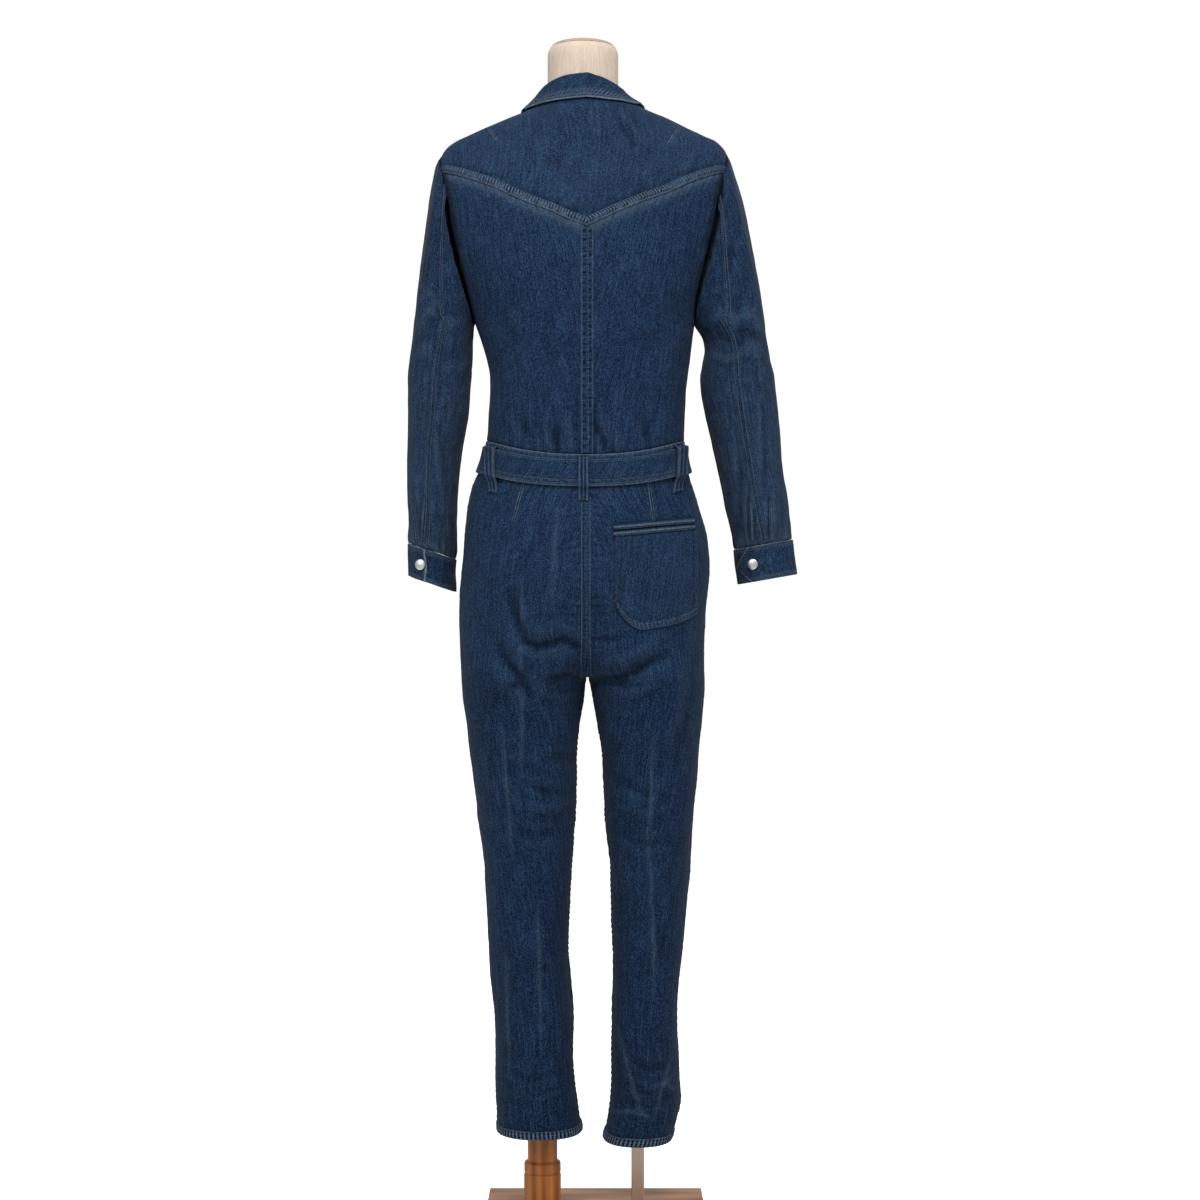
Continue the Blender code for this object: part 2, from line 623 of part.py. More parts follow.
def neckline():
    """Neck seam points from the centre front round the back to the front."""
    shares = np.linspace(1, 0, COLLAR_COLUMNS + 1)
    halves = {}
    for side in SIDES:
        face = np.where(shares > 0.5, FRONT, BACK)
        turn = np.where(shares > 0.5, (1 - shares) * math.pi, shares * math.pi)
        start = RIDGE[side].at("height", NECK_HALF[side])
        middle = np.where(face == BACK, NECK_BACK, NECK_FRONT)
        level = np.sin(turn)
        z = middle + (start - middle) * level
        out = NECK_HALF[side] * level
        angle = angle_at(side, out, z)
        back = body_base(side, BACK, z, angle)
        front = body_base(side, FRONT, z, angle)
        halves[side] = np.where((face == BACK)[:, None], back, front)
    return shares, halves


def collar():
    """A turned-down collar: its stand, the fold, and the fall outside it."""
    shares, halves = neckline()
    columns = []
    for side in (LEFT, RIGHT):
        run = []
        for share, foot in zip(shares, halves[side]):
            cut = COLLAR[side]
            reach, rise = cut.at("reach", share), cut.at("rise", share)
            edge_x, edge_z = cut.at("edge_x", share), cut.at("edge_z", share)
            face = FRONT if share > 0.5 else BACK
            angle = angle_at(side, edge_x, edge_z)
            lie = body_base(side, face, edge_z, angle)
            lie = lie + COLLAR_LIFT * body_normal(side, face, edge_z, angle)
            away = np.array([foot[0], foot[1] - 8.0, 0.0])
            away = unit(away) if np.linalg.norm(away) > 1 else np.array([0.0, -1.0, 0.0])
            foot = foot + np.array([0, 0, 2.2]) - 1.0 * away
            top = foot + away * reach + np.array([0, 0, rise])
            over = unit(lie - top)
            crest = top + away * 3.0 + np.array([0, 0, 1.2])
            turn = top + away * 5.4 + over * 2.0
            run.append([foot, foot + (top - foot) * 0.55, top, crest, turn,
                        turn + (lie - turn) * 0.5, lie])
        columns.append(np.array(run))
    outer = np.concatenate([columns[0], columns[1][-2::-1]]).transpose(1, 0, 2)
    along = np.gradient(outer, axis=0)
    around = np.gradient(outer, axis=1)
    normal = unit(np.cross(along, around))
    wall_between("collar", outer, outer - normal * TRIM)


# --------------------------------------------------------------- sleeves


def sleeve_grid(side):
    """Heights and places round the arm for every point of a sleeve's grid.

    Columns start at the armpit, climb the back of the armhole to the shoulder
    tip and come down its front.
    """
    lower, upper = armhole_rows(side)
    climb = np.concatenate([lower, upper[1:]])
    count = len(climb) - 1
    start_z = np.concatenate([climb, climb[-2:0:-1]])
    around = np.linspace(-1, 1, 2 * count + 1)[:-1]
    start_around = np.sign(around + 1e-9) * 1.0
    start_around[0] = -1.0
    start_around[count] = 0.0
    ring_z = SLEEVE_ROWS[side][0]
    rows_z, rows_around = [], []
    for share in np.linspace(0, 1, CAP_ROWS + 1):
        rows_z.append(start_z + (ring_z - start_z) * share ** CAP_FALLS)
        rows_around.append(start_around + (around - start_around) * share ** CAP_SPREADS)
    for z in SLEEVE_ROWS[side][1:]:
        rows_z.append(np.full(around.shape, float(z)))
        rows_around.append(around)
    return np.array(rows_z), np.array(rows_around)


def sleeve(side):
    z, around = sleeve_grid(side)
    base = sleeve_base(side, z, around)
    normal = sleeve_normal(side, z, around)
    inner = base - normal * WALL
    first, last = UNDER_COLUMNS[side]
    count = z.shape[1]
    under = list(range(first, last + 1))
    top = [column % count for column in range(last, count + first + 1)]
    for part, chosen in (("under", under), ("top", top)):
        wall_between(f"sleeve_{SIDES[side]}_{part}", base[:, chosen], inner[:, chosen],
                     end_gap=ARMHOLE_GAP)


def cuff(side):
    """A snapped band: its pointed end comes round the arm and laps over its start."""
    bottom, top = CUFF_BOTTOM[side], CUFF_TOP[side] - SEAM
    end, point, at_snap = CUFF_END[side]
    columns = 26
    along = np.linspace(0, 2 + CUFF_LAP, columns + 1)
    rise = np.clip((along - (2 - 0.10)) / 0.12, 0, 1)
    levels = np.linspace(top, bottom, 5)
    z = np.repeat(levels[:, None], columns + 1, axis=1)
    pointed = point * (1 - np.abs(np.linspace(-1, 1, len(levels))))
    around = end + CUFF_LAP - along - pointed[:, None] * np.clip((along - 2) / CUFF_LAP, 0, 1)
    wrapped = (around + 1) % 2 - 1
    lift = 1.0 + rise * (TRIM + 0.6)
    outer = sleeve_base(side, z, wrapped) + sleeve_normal(side, z, wrapped) * lift[None, :, None]
    inner = outer - sleeve_normal(side, z, wrapped) * TRIM
    wall_between(f"cuff_{SIDES[side]}", outer, inner)
    level, turn = np.array((top + bottom) / 2), np.array(at_snap)
    facing = sleeve_normal(side, level, turn)
    snap(f"snap_cuff_{SIDES[side]}", sleeve_base(side, level, turn) + facing * (1.0 + TRIM + 0.6 + LAP), facing)


def snap(name, place, facing):
    radius = SNAP_DIAMETER / 2
    profile = [(radius - 0.6, 0), (radius, 0.9), (radius - 1.0, 2.3), (radius - 2.6, 2.0), (2.5, SNAP_HEIGHT)]
    turned(name, profile, "snap_metal", segments=12, place=place, axis=facing)


# ----------------------------------------------------------- waist and belt


def waistband():
    below = np.linspace(0, WAISTBAND, 4)
    grids = {}
    for side in SIDES:
        for face in (BACK, FRONT):
            angle = np.repeat(column_angles()[None], len(below), axis=0)
            z = waist_at(face, angle) - below[:, None]
            grids[side, face] = body_walls(side, face, z, angle, 0.6, wall=2.0, folded=False)
    outer, inner = (np.concatenate([grids[LEFT, BACK][deep], grids[RIGHT, BACK][deep][:, -2::-1]], axis=1)
                    for deep in (0, 1))
    wall_between("waistband_back", outer, inner)
    for side in SIDES:
        wall_between(f"waistband_front_{SIDES[side]}", *grids[side, FRONT])


def belt_line(share):
    """Side, face and angle at a share of the way round, from the middle front.

    0 is the middle front, 0.25 the left side, 0.5 the middle back.
    """
    share = share % 1.0
    if share < 0.25:
        return LEFT, FRONT, math.pi / 2 * (1 - share * 4)
    if share < 0.5:
        return LEFT, BACK, math.pi / 2 * (share * 4 - 1)
    if share < 0.75:
        return RIGHT, BACK, math.pi / 2 * (3 - share * 4)
    return RIGHT, FRONT, math.pi / 2 * (share * 4 - 3)


def belt_point(share, below, off):
    side, face, angle = belt_line(share)
    angle = np.array(angle)
    z = np.array(waist_at(face, angle, BELT_DROP + below))
    return body_base(side, face, z, angle) + off * body_normal(side, face, z, angle)


def belt():
    """One strap round the waist; its tail lies over its start at the front."""
    columns = 50
    shares = np.linspace(0.012, 1.115, columns + 1)
    lift = BELT_OFF + (BELT_WALL + LAP) * np.clip((shares - 0.965) / 0.04, 0, 1)
    levels = (0.0, BELT_HEIGHT / 2, BELT_HEIGHT)
    inner = np.array([[belt_point(s, level, off) for s, off in zip(shares, lift)] for level in levels])
    outer = np.array([[belt_point(s, level, off + BELT_WALL) for s, off in zip(shares, lift)]
                      for level in levels])
    tip = np.array([-5.0, 6.0, -5.0])
    for grid in (inner, outer):
        grid[:, -1] += unit(grid[:, -1] - grid[:, -2]) * tip[:, None]
    wall_between("belt", outer, inner)


def buckle():
    """A plain frame over the belt at the middle front, with its prong."""
    stack = BELT_OFF + 2 * BELT_WALL + 2 * LAP
    face_y = belt_point(0.0, BELT_HEIGHT / 2, stack)[1] + 0.55
    middle_z = belt_point(0.0, BELT_HEIGHT / 2, 0)[2]
    width, height, bar, thick = 42.0, 50.0, 5.0, 3.0
    outline = [(-width / 2, -height / 2), (width / 2, -height / 2),
               (width / 2, height / 2), (-width / 2, height / 2)]
    hole = [(x - math.copysign(bar, x), z - math.copysign(bar, z)) for x, z in outline]
    points = [(x, face_y + y, middle_z + z) for y in (0, thick) for x, z in outline + hole]
    faces = []
    for i in range(4):
        j = (i + 1) % 4
        faces += [[i, j, 4 + j, 4 + i], [8 + i, 8 + j, 12 + j, 12 + i],
                  [i, j, 8 + j, 8 + i], [4 + i, 4 + j, 12 + j, 12 + i]]
    frame = add_object("buckle", points, faces, "snap_metal")
    frame.data.shade_flat()
    block("prong", (-width / 2 + 1, face_y + thick + LAP, middle_z - 2),
          (width / 2 - 1, face_y + thick + LAP + 2.5, middle_z + 2), "snap_metal", bevel=0.6)


def belt_loop(name, share):
    """A strap from the waistband over the belt to its foot on the leg."""
    clear = BELT_OFF + BELT_WALL + LOOP_CLEAR
    path = [(1.5, 1.2), (4.0, 1.3), (6.5, clear + 1.0), (14.0, clear + 1.2), (34.0, clear + 1.2),
            (44.0, clear + 1.0), (50.0, 3.0), (56.0, 0.9), (63.0, 0.7)]
    side, face, angle = belt_line(share)
    middle = belt_point(share, 0, 0)[0]
    inner, outer = [], []
    for below, off in path:
        rows = ([], [])
        for x in np.linspace(middle - LOOP_WIDTH / 2, middle + LOOP_WIDTH / 2, 3):
            at = LEFT if x < 0 else RIGHT
            turn = angle_at(at, x, waist_at(face, np.array(angle), below))
            z = np.array(waist_at(face, turn, below))
            turn = angle_at(at, x, z)
            base, normal = body_base(at, face, z, turn), body_normal(at, face, z, turn)
            base = base + normal * fold_depth(face, base[..., 0], base[..., 2])
            rows[0].append(base + normal * off)
            rows[1].append(base + normal * (off + LOOP_WALL))
        inner.append(rows[0])
        outer.append(rows[1])
    wall_between(name, np.array(outer), np.array(inner), gap=0.0)


# ------------------------------------------------------------------- legs


def leg_rows(side):
    """Heights of a leg's rows from the waistband to the hem."""
    rows = np.array([WAIST - WAISTBAND, *LEG_ROWS, HEM[LEFT] + HEM_BAND + 0.3,
                     HEM[LEFT] + HEM_BAND - 0.6, HEM[LEFT]], dtype=float)
    shift = (HEM[LEFT] - HEM[side]) * np.clip((HEM_LEVELS - rows) / (HEM_LEVELS - HEM[LEFT]), 0, 1)
    return rows - shift


def leg(side, face):
    rows = leg_rows(side)
    z = np.repeat(rows[:, None], HALF_COLUMNS + 1, axis=1)
    angle = np.linspace(0, 1, HALF_COLUMNS + 1)[None] * end_angle(rows)[:, None]
    dip = BACK_DIP if face == BACK else FRONT_DIP
    fade = np.clip((rows - DIP_FADES) / (WAIST - WAISTBAND - DIP_FADES), 0, 1)
    z = z - dip * (fade ** 1.5)[:, None] * np.sin(angle) ** 2
    hem = np.zeros(z.shape)
    hem[-2:] = HEM_RAISE
    outer, inner = body_walls(side, face, z, angle, hem)
    wall_between(f"leg_{'back' if face == BACK else 'front'}_{SIDES[side]}", outer, inner)


def patch_on_body(name, side, face, x, z, off, wall=TRIM):
    """A piece lying on the body, from grids of distance out and height."""
    angle = angle_at(side, x, z)
    base, normal = body_base(side, face, z, angle), body_normal(side, face, z, angle)
    base = base + normal * fold_depth(face, base[..., 0], base[..., 2])[..., None]
    wall_between(name, base + normal * (off + wall), base + normal * off, gap=0.0)


def back_pocket():
    """Two welts on the right hip and the pocket's bag stitched through below."""
    x = np.array([35.0, 48, 61, 74, 87, 100, 113, 127, 142])
    lower_edge = 956 + 0.1 * (x - 35)
    for name, foot, height in (("welt_lower", 0.0, 7.0), ("welt_upper", 8.4, 7.0)):
        z = np.array([lower_edge + foot + height, lower_edge + foot])
        patch_on_body(name, RIGHT, BACK, np.array([x, x]), z, PATCH_OFF, wall=1.8)
    bottom = Table("x z", [(36, 869), (43, 856), (67, 834), (88, 835), (110, 839), (125, 844),
                           (140, 852), (146, 857)])
    x = np.array([36.0, 43, 55, 67, 88, 110, 125, 140, 146])
    top = 956 + 0.1 * (x - 35) - SEAM
    share = np.linspace(0, 1, 8)[:, None]
    z = top * (1 - share) + bottom.at("z", x) * share
    patch_on_body("pocket_back", RIGHT, BACK, np.repeat(x[None], 8, axis=0), z, PATCH_OFF, wall=1.2)


def front_pocket(side):
    """A side pocket at the front hip with a slanted mouth."""
    outer = 148.0
    x = np.linspace(outer, 78.0, 7)
    top = 948 + (outer - x) * 0.85
    share = np.linspace(0, 1, 7)[:, None]
    bottom = 846 + 6 * np.abs(np.linspace(-1, 1, 7)) ** 3
    z = top * (1 - share) + bottom * share
    patch_on_body(f"pocket_front_{SIDES[side]}", side, FRONT, np.repeat(x[None], 7, axis=0), z, PATCH_OFF)


# ---------------------------------------------------------------- closing


def strip_down_front(name, top, bottom, rows, half_width=17.0):
    """A band lying over the middle front between two heights."""
    levels = np.linspace(top, bottom, rows + 1)
    outer, inner = [], []
    for z in levels:
        line = ([], [])
        for x in (-half_width, -half_width / 2, 0.0, half_width / 2, half_width):
            side = LEFT if x < 0 else RIGHT
            turn = angle_at(side, x, np.array(z))
            base = body_base(side, FRONT, np.array(z), turn)
            normal = body_normal(side, FRONT, np.array(z), turn)
            base = base + normal * fold_depth(FRONT, base[0], base[2])
            line[0].append(base + normal * (STRIP_OFF + TRIM))
            line[1].append(base + normal * STRIP_OFF)
        outer.append(line[0])
        inner.append(line[1])
    wall_between(name, np.array(outer), np.array(inner), gap=0.0)


def closing():
    """Snapped placket of the bodice and the fly below the waistband."""
    strip_down_front("placket", NECK_FRONT - 4, WAIST - FRONT_DIP + 2, 14)
    strip_down_front("fly", WAIST - WAISTBAND - FRONT_DIP - 8, 880, 8)
    for number, z in enumerate(np.linspace(NECK_FRONT - 30, WAIST + 40, 6), start=1):
        angle = np.array(math.pi / 2)
        base = body_base(RIGHT, FRONT, np.array(z), angle)
        normal = body_normal(RIGHT, FRONT, np.array(z), angle)
        snap(f"snap_front_{number}", base + normal * (STRIP_OFF + TRIM + LAP), normal)


# ------------------------------------------------------------ form, stand


def form():
    """The covered torso and neck in one smooth body, then its cap."""
    segments = 24
    turn = 2 * math.pi * np.arange(segments) / segments
    rings = []
    heights = np.concatenate([np.linspace(FORM_BOTTOM, 1460, 14), [1480, 1497, 1511, 1522, 1530]])
    for z in heights:
        at = np.array(z)
        reach = {}
        below = np.interp(z, (1500, 1530), (FORM_UNDER["shoulder"], FORM_UNDER["neck"]))
        for side in SIDES:
            x = np.linspace(230, 60, 341)
            under = RIDGE[side].at("height", x) - below > z
            shoulder = x[under][0] if under.any() else 60.0
            hole = np.minimum(ARMHOLE[side].at("back", at), ARMHOLE[side].at("front", at)) - FORM_EASE
            limit = hole if z > ARMPIT else BODY[side].at("outer", at) - FORM_EASE
            reach[side] = min(shoulder, float(limit))
        ring = []
        for angle in turn:
            side, face = (RIGHT if math.cos(angle) >= 0 else LEFT), (FRONT if math.sin(angle) >= 0 else BACK)
            out = reach[side] * abs(math.cos(angle)) ** (2 / FULLNESS)
            depth = float(BODY[side].at("back" if face == BACK else "front", at)) - FORM_EASE
            drop = np.clip(RIDGE[side].at("height", np.array(out)) - below - z, 0, TOP_ROUND[face])
            over = math.sqrt(1 - (1 - drop / TOP_ROUND[face]) ** 2)
            fit = max(0.0, 1 - (out / reach[side]) ** FULLNESS) ** (1 / FULLNESS)
            ring.append((side * out, face * depth * fit * over, z))
        rings.append(ring)
    for z, radius in ((1541, NECK_RADIUS + 1), (NECK_TOP - 8, NECK_RADIUS), (NECK_TOP, CAP_RADIUS)):
        rings.append([(NECK_CENTRE[0] + radius * math.cos(a), NECK_CENTRE[1] + radius * math.sin(a), z)
                      for a in turn])
    points = np.array(rings).reshape(-1, 3)
    faces = [list(range(segments)), list(range(len(points) - segments, len(points)))]
    for row in range(len(rings) - 1):
        for step in range(segments):
            ahead = (step + 1) % segments
            faces.append([row * segments + step, row * segments + ahead,
                          (row + 1) * segments + ahead, (row + 1) * segments + step])
    add_object("form_torso", points, faces, "linen")
    low = NECK_TOP + SEAM
    turned("form_cap", [(CAP_RADIUS - 0.4, low), (CAP_RADIUS - 2, low + 3), (CAP_RADIUS - 8, NECK_TOP + CAP_HEIGHT - 2.2),
                        (22, NECK_TOP + CAP_HEIGHT)],
           "linen", segments=segments, place=(*NECK_CENTRE, 0))


def stand():
    width, depth, height = BASE_SIZE
    block("stand_base", (BASE_CENTRE - width / 2, -depth / 2, 0), (BASE_CENTRE + width / 2, depth / 2, height),
          "base_wood", bevel=1.5)
    turned("stand_post", POST, "post_wood", place=(POST_AT, 0, 0))
    block("stand_bar", (BAR_AT - BAR_SIZE[0] / 2, -BAR_SIZE[1] / 2, height + SEAM),
          (BAR_AT + BAR_SIZE[0] / 2, BAR_SIZE[1] / 2, FORM_BOTTOM - SEAM), "brushed_bar", bevel=0.8)


def build():
    for obj in list(bpy.data.objects):
        bpy.data.objects.remove(obj)
    yoke()
    for side in SIDES:
        bodice_back(side)
        bodice_front(side)
        sleeve(side)
        cuff(side)
        leg(side, BACK)
        leg(side, FRONT)
        front_pocket(side)
    collar()
    waistband()
    belt()
    buckle()
    for name, share in (("back_centre", 0.4968), ("back_left", 0.328), ("back_right", 0.68),
                        ("front_left", 0.14), ("front_right", 0.86)):
        belt_loop(f"loop_{name}", share)
    back_pocket()
    closing()
    form()
    stand()


build()
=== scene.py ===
"""A denim jumpsuit on a linen-covered dress form, with its finished surface.

The cloth is cut in the same panels as the solids: every panel is read finely
from two smooth surfaces, the body and the two arms, and gets its folds, its
puckered seams and its sewing.  The hard pieces (snaps, buckle, post, bar and
plank) are shaped from primitives with Blender's edit tools.

Axes are those of the part: +Z up, the garment's back faces -Y, so the
wearer's left is at -X.  Sizes are millimetres until a mesh is made.
"""

from __future__ import annotations

import logging
import math
from dataclasses import dataclass, field
from enum import Enum, IntEnum
from typing import Sequence

import bmesh
import bpy
import numpy as np
from mathutils import Matrix, Vector
from numpy import array, clip, concatenate, cos, gradient, linspace, maximum, minimum, sin, stack, where

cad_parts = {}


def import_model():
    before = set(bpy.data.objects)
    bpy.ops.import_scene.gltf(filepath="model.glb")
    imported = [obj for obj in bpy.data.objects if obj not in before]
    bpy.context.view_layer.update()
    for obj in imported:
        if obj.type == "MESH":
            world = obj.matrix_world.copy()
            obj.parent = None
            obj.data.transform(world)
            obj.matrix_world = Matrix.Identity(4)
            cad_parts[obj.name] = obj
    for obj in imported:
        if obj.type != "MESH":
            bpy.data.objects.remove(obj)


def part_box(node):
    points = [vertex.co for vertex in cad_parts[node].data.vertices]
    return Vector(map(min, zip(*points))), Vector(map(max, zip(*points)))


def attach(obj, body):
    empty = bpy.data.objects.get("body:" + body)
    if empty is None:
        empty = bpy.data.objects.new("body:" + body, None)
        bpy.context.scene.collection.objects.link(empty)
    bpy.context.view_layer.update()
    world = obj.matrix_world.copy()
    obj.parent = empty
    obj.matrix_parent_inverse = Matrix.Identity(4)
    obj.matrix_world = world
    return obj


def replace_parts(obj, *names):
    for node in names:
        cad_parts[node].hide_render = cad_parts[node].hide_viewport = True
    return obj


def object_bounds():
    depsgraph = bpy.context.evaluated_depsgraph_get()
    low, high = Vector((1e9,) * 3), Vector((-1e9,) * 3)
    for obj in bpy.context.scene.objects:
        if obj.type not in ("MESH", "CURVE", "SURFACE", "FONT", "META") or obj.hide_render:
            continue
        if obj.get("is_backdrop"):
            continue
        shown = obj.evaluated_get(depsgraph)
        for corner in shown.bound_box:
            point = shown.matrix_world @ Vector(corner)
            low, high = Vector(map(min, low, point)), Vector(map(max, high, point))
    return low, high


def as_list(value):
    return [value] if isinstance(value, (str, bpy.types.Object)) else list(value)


logging.basicConfig(level=logging.INFO, format="%(message)s")
LOG = logging.getLogger("jumpsuit")

MM = 0.001
BODY_NAME = "root"


class Way(IntEnum):
    """A sign along an axis that is written as its word."""

    def __format__(self, spec: str) -> str:
        """The word, in small letters."""
        return self.name.lower()


class Side(Way):
    """A side of the wearer, with the sign of its X."""

    LEFT = -1
    RIGHT = 1


class Face(Way):
    """The back or the front of the garment, with the sign of its Y."""

    BACK = -1
    FRONT = 1


LEFT, RIGHT, BACK, FRONT = Side.LEFT, Side.RIGHT, Face.BACK, Face.FRONT


class Slot(Enum):
    """The record's material slots."""

    DENIM = "denim"
    METAL = "snap_metal"
    LINEN = "linen"
    POST = "post_wood"
    BASE = "base_wood"
    BAR = "bar_steel"


# Cloth.
WALL = 1.3
SEAM = 0.3
LAP = 0.4
EDGE_ROUND = 0.7
FINE = 8
SLEEVE_FINE = 6

# Heights of the garment.
WAIST = 1089.0
DIP = {BACK: 23.0, FRONT: 4.0}
DIP_FADES = 955.0
ARMPIT = 1250.0
YOKE_END = 1450.0
SEAT_SPLITS = 866.0
CROTCH = 763.0
HEM = {LEFT: 151.0, RIGHT: 141.0}
HEM_LEVELS = 240.0
HEM_BAND = 11.0
TIP = {LEFT: (200.0, 1478.0), RIGHT: (190.0, 1481.5)}
NECK_HALF = {LEFT: 70.0, RIGHT: 57.0}
NECK = {BACK: 1551.0, FRONT: 1462.0}
WAISTBAND = 39.0
FULLNESS = 2.3
TOP_ROUND = {BACK: 90.0, FRONT: 80.0}
PROBE = 0.02
PROBE_MM = 1.5

# How the coarse panels are divided; the fine ones are multiples of it.
HALF_COLUMNS = 8
SHOULDER_COLUMNS = 5
SIDE_ROWS = 6
ARMHOLE_ROWS = 7
YOKE_ROWS = 5
CAP_ROWS = 5
CAP_FALLS = 1.6
CAP_SPREADS = 0.8

Grid = np.ndarray
Piece, Material, Tree = bpy.types.Object, bpy.types.Material, bpy.types.NodeTree
Node, Socket = bpy.types.Node, bpy.types.NodeSocket


# ---- surfaces


class Table:
    """Rows of named columns, read between the rows along a smooth curve."""

    def __init__(self, names: str, rows: str) -> None:
        """Keeps the rows, parted by semicolons, in order of their first column."""
        data = array(sorted([float(word) for word in row.split()] for row in rows.split(";")))
        self.keys = data[:, 0]
        self.columns = dict(zip(names.split()[1:], data[:, 1:].T))

    def at(self, name: str, key: Grid | float) -> Grid:
        """A column's value key the first column has this value.

        Args:
            name: the column's name.
            key: one value, or an array of them.

        Returns:
            The values, in the shape of key.
        """
        keys, values = self.keys, self.columns[name]
        slopes = gradient(values, keys)
        key = clip(key, keys[0], keys[-1])
        i = clip(np.searchsorted(keys, key, side="right") - 1, 0, len(keys) - 2)
        span = keys[i + 1] - keys[i]
        t = (key - keys[i]) / span
        t2, t3 = t * t, t * t * t
        return ((2 * t3 - 3 * t2 + 1) * values[i] + (t3 - 2 * t2 + t) * span * slopes[i]
            + (3 * t2 - 2 * t3) * values[i + 1] + (t3 - t2) * span * slopes[i + 1])


# The garment's half outline on each side, its inner leg line and its depths.
BODY = {
    LEFT: Table("z outer inner back front", """
    151 122 8 64 66; 190 124 14 64 66; 235 124.4 19 65 66; 305 125.5 20 66 67; 350 130 23 67 68;
    399 134 26 70 70; 463 137.6 23.5 74 72; 525 142.6 21 79 76; 566 148 19 83 79; 622 153.6 16
    88 83; 678 160.4 13 93 87; 706 163 9 96 89; 736 167.8 4 100 92; 763 170 1 105 95; 800 171.7
    0 112 99; 868 174 0 123 104; 903 173 0 124 106; 941 170 0 118 106; 975 167 0 110 105; 1003
    163 0 104 104; 1030 156 0 99 102; 1045 149 0 96 101; 1062 143 0 94 100; 1087 138 0 93 101;
    1119 136 0 95 104; 1179 134.5 0 101 110; 1228 146 0 108 113; 1250 154 0 110 113; 1280 163 0
    113 111; 1320 178 0 112 107; 1380 196 0 105 97; 1425 208 0 95 88; 1475 216 0 82 78; 1570 222
    0 74 72"""),
    RIGHT: Table("z outer inner back front", """
    141 114 22 64 66; 155 119 25 64 66; 183 125 30 65 66; 235 124.4 32.4 65 66; 305 122.5 33.7
    66 67; 354 125.3 34.8 67 68; 413 132.3 34 70 70; 463 136.9 32.4 74 72; 525 140.3 29.6 79 76;
    566 142.6 26 83 79; 622 147.9 22.4 88 83; 672 151 18.7 92 87; 701 154.4 13.5 96 89; 735
    156.8 7 100 92; 763 158.2 1 105 95; 805 158 0 113 99; 835 158.4 0 118 102; 868 161 0 123
    104; 890 164 0 124 106; 915 165.8 0 122 106; 941 164.5 0 118 106; 965 161 0 112 105; 1003
    150.5 0 104 104; 1030 143 0 99 102; 1045 139 0 96 101; 1062 134.5 0 94 100; 1087 132 0 93
    101; 1119 131.7 0 95 104; 1179 135.8 0 101 110; 1228 142.4 0 108 113; 1250 146 0 110 113;
    1280 153 0 113 111; 1320 167 0 112 107; 1380 186 0 105 97; 1425 197 0 95 88; 1475 206 0 82
    78; 1570 212 0 74 72"""),
}

# The shoulder's ridge, where yoke and front meet.
RIDGE = {
    LEFT: Table("x height", """
    0 1582; 40 1566; 74 1543.5; 106 1530; 133 1519; 160 1507; 180 1498; 192 1489; 200 1478; 216
    1450"""),
    RIGHT: Table("x height", """
    0 1582; 40 1566; 74 1543.5; 106 1530; 133 1517.5; 160 1505; 178 1495.5; 185 1488; 190
    1481.5; 210 1448"""),
}

# How far out the armhole lies, at the back and at the front.
ARMHOLE = {
    LEFT: Table("z back front", """
    1250 154 154; 1266 155.5 153.5; 1297 163 158; 1347 176 168; 1395 185 178; 1425 190 186; 1450
    195.5 193.5; 1464 198.2 197.5; 1472 199.5 199.3; 1478 200 200"""),
    RIGHT: Table("z back front", """
    1250 146 146; 1266 144 143; 1297 149 146; 1347 162 154; 1395 173 166; 1425 179 175; 1450
    184.5 182.5; 1466 188 187; 1475 189.4 189.2; 1481.5 190 190"""),
}

# The yoke's lower seam: a shallow V with its point at the centre.
YOKE_SEAM = {
    LEFT: Table("x height", """
    0 1366; 24 1375; 47 1386; 88 1403; 121 1420; 156 1435; 178 1444; 195.5 1450"""),
    RIGHT: Table("x height", """
    0 1366; 24 1377.5; 48 1389; 78 1402; 112 1416; 140 1431; 160 1440; 184.5 1450"""),
}

# Sleeves and cuffs: outline seen from behind, depths, forward lean of the arm
# and how much lower the side next to the body hangs.
SLEEVE = {
    LEFT: Table("z outer inner back front lean droop", """
    884 245 181 44 44 16 22; 906 245 181 44 44 16 22; 951 246 181 46 46 16 22; 960 246 180 49 49
    15 20; 982 246 179 52 52 14 14; 1016 248 178 54 54 13 8; 1074 248 172.7 56 56 10 0; 1125
    246.5 163.7 58 58 7 0; 1179 243.7 159 60 60 4 0; 1228 238.5 156.5 63 62 1 0; 1250 236.5 154
    65 64 0 0; 1282 233.4 150 68 66 0 0; 1317 230 150 69 66 0 0; 1360 224.6 150 67 64 0 0; 1398
    219 150 62 59 0 0; 1432 213.7 150 52 50 0 0; 1455 208.8 150 38 38 0 0; 1465 206 150 29 29 0
    0; 1473 203 150 16 16 0 0; 1478 200.6 150 3 3 0 0"""),
    RIGHT: Table("z outer inner back front lean droop", """
    890 289.5 211 40 40 16 14; 908 287 207 40 40 16 14; 955 280.8 201 42 42 16 14; 966 279.8 200
    46 46 15 13; 1009 274.5 188.6 50 50 13 6; 1038 269.5 182 51 51 11 2; 1108 262.7 166 54 54 8
    0; 1168 256 155 58 58 4 0; 1228 245 158 61 60 1 0; 1250 242 146 63 62 0 0; 1289 237 146 66
    64 0 0; 1338 228.6 146 66 63 0 0; 1383 220 146 62 59 0 0; 1424 210 146 54 51 0 0; 1455 200
    146 38 38 0 0; 1468 195.6 146 28 28 0 0; 1476 193 146 16 16 0 0; 1481.5 190.6 146 3 3 0 0"""),
}
CUFF_TOP = {LEFT: 951.0, RIGHT: 956.0}
CUFF_BOTTOM = {LEFT: 906.0, RIGHT: 908.0}
SLEEVE_TUBE = {LEFT: (1195, 951), RIGHT: (1200, 956)}
UNDER_COLUMNS = {LEFT: (3, 6), RIGHT: (3, 5)}

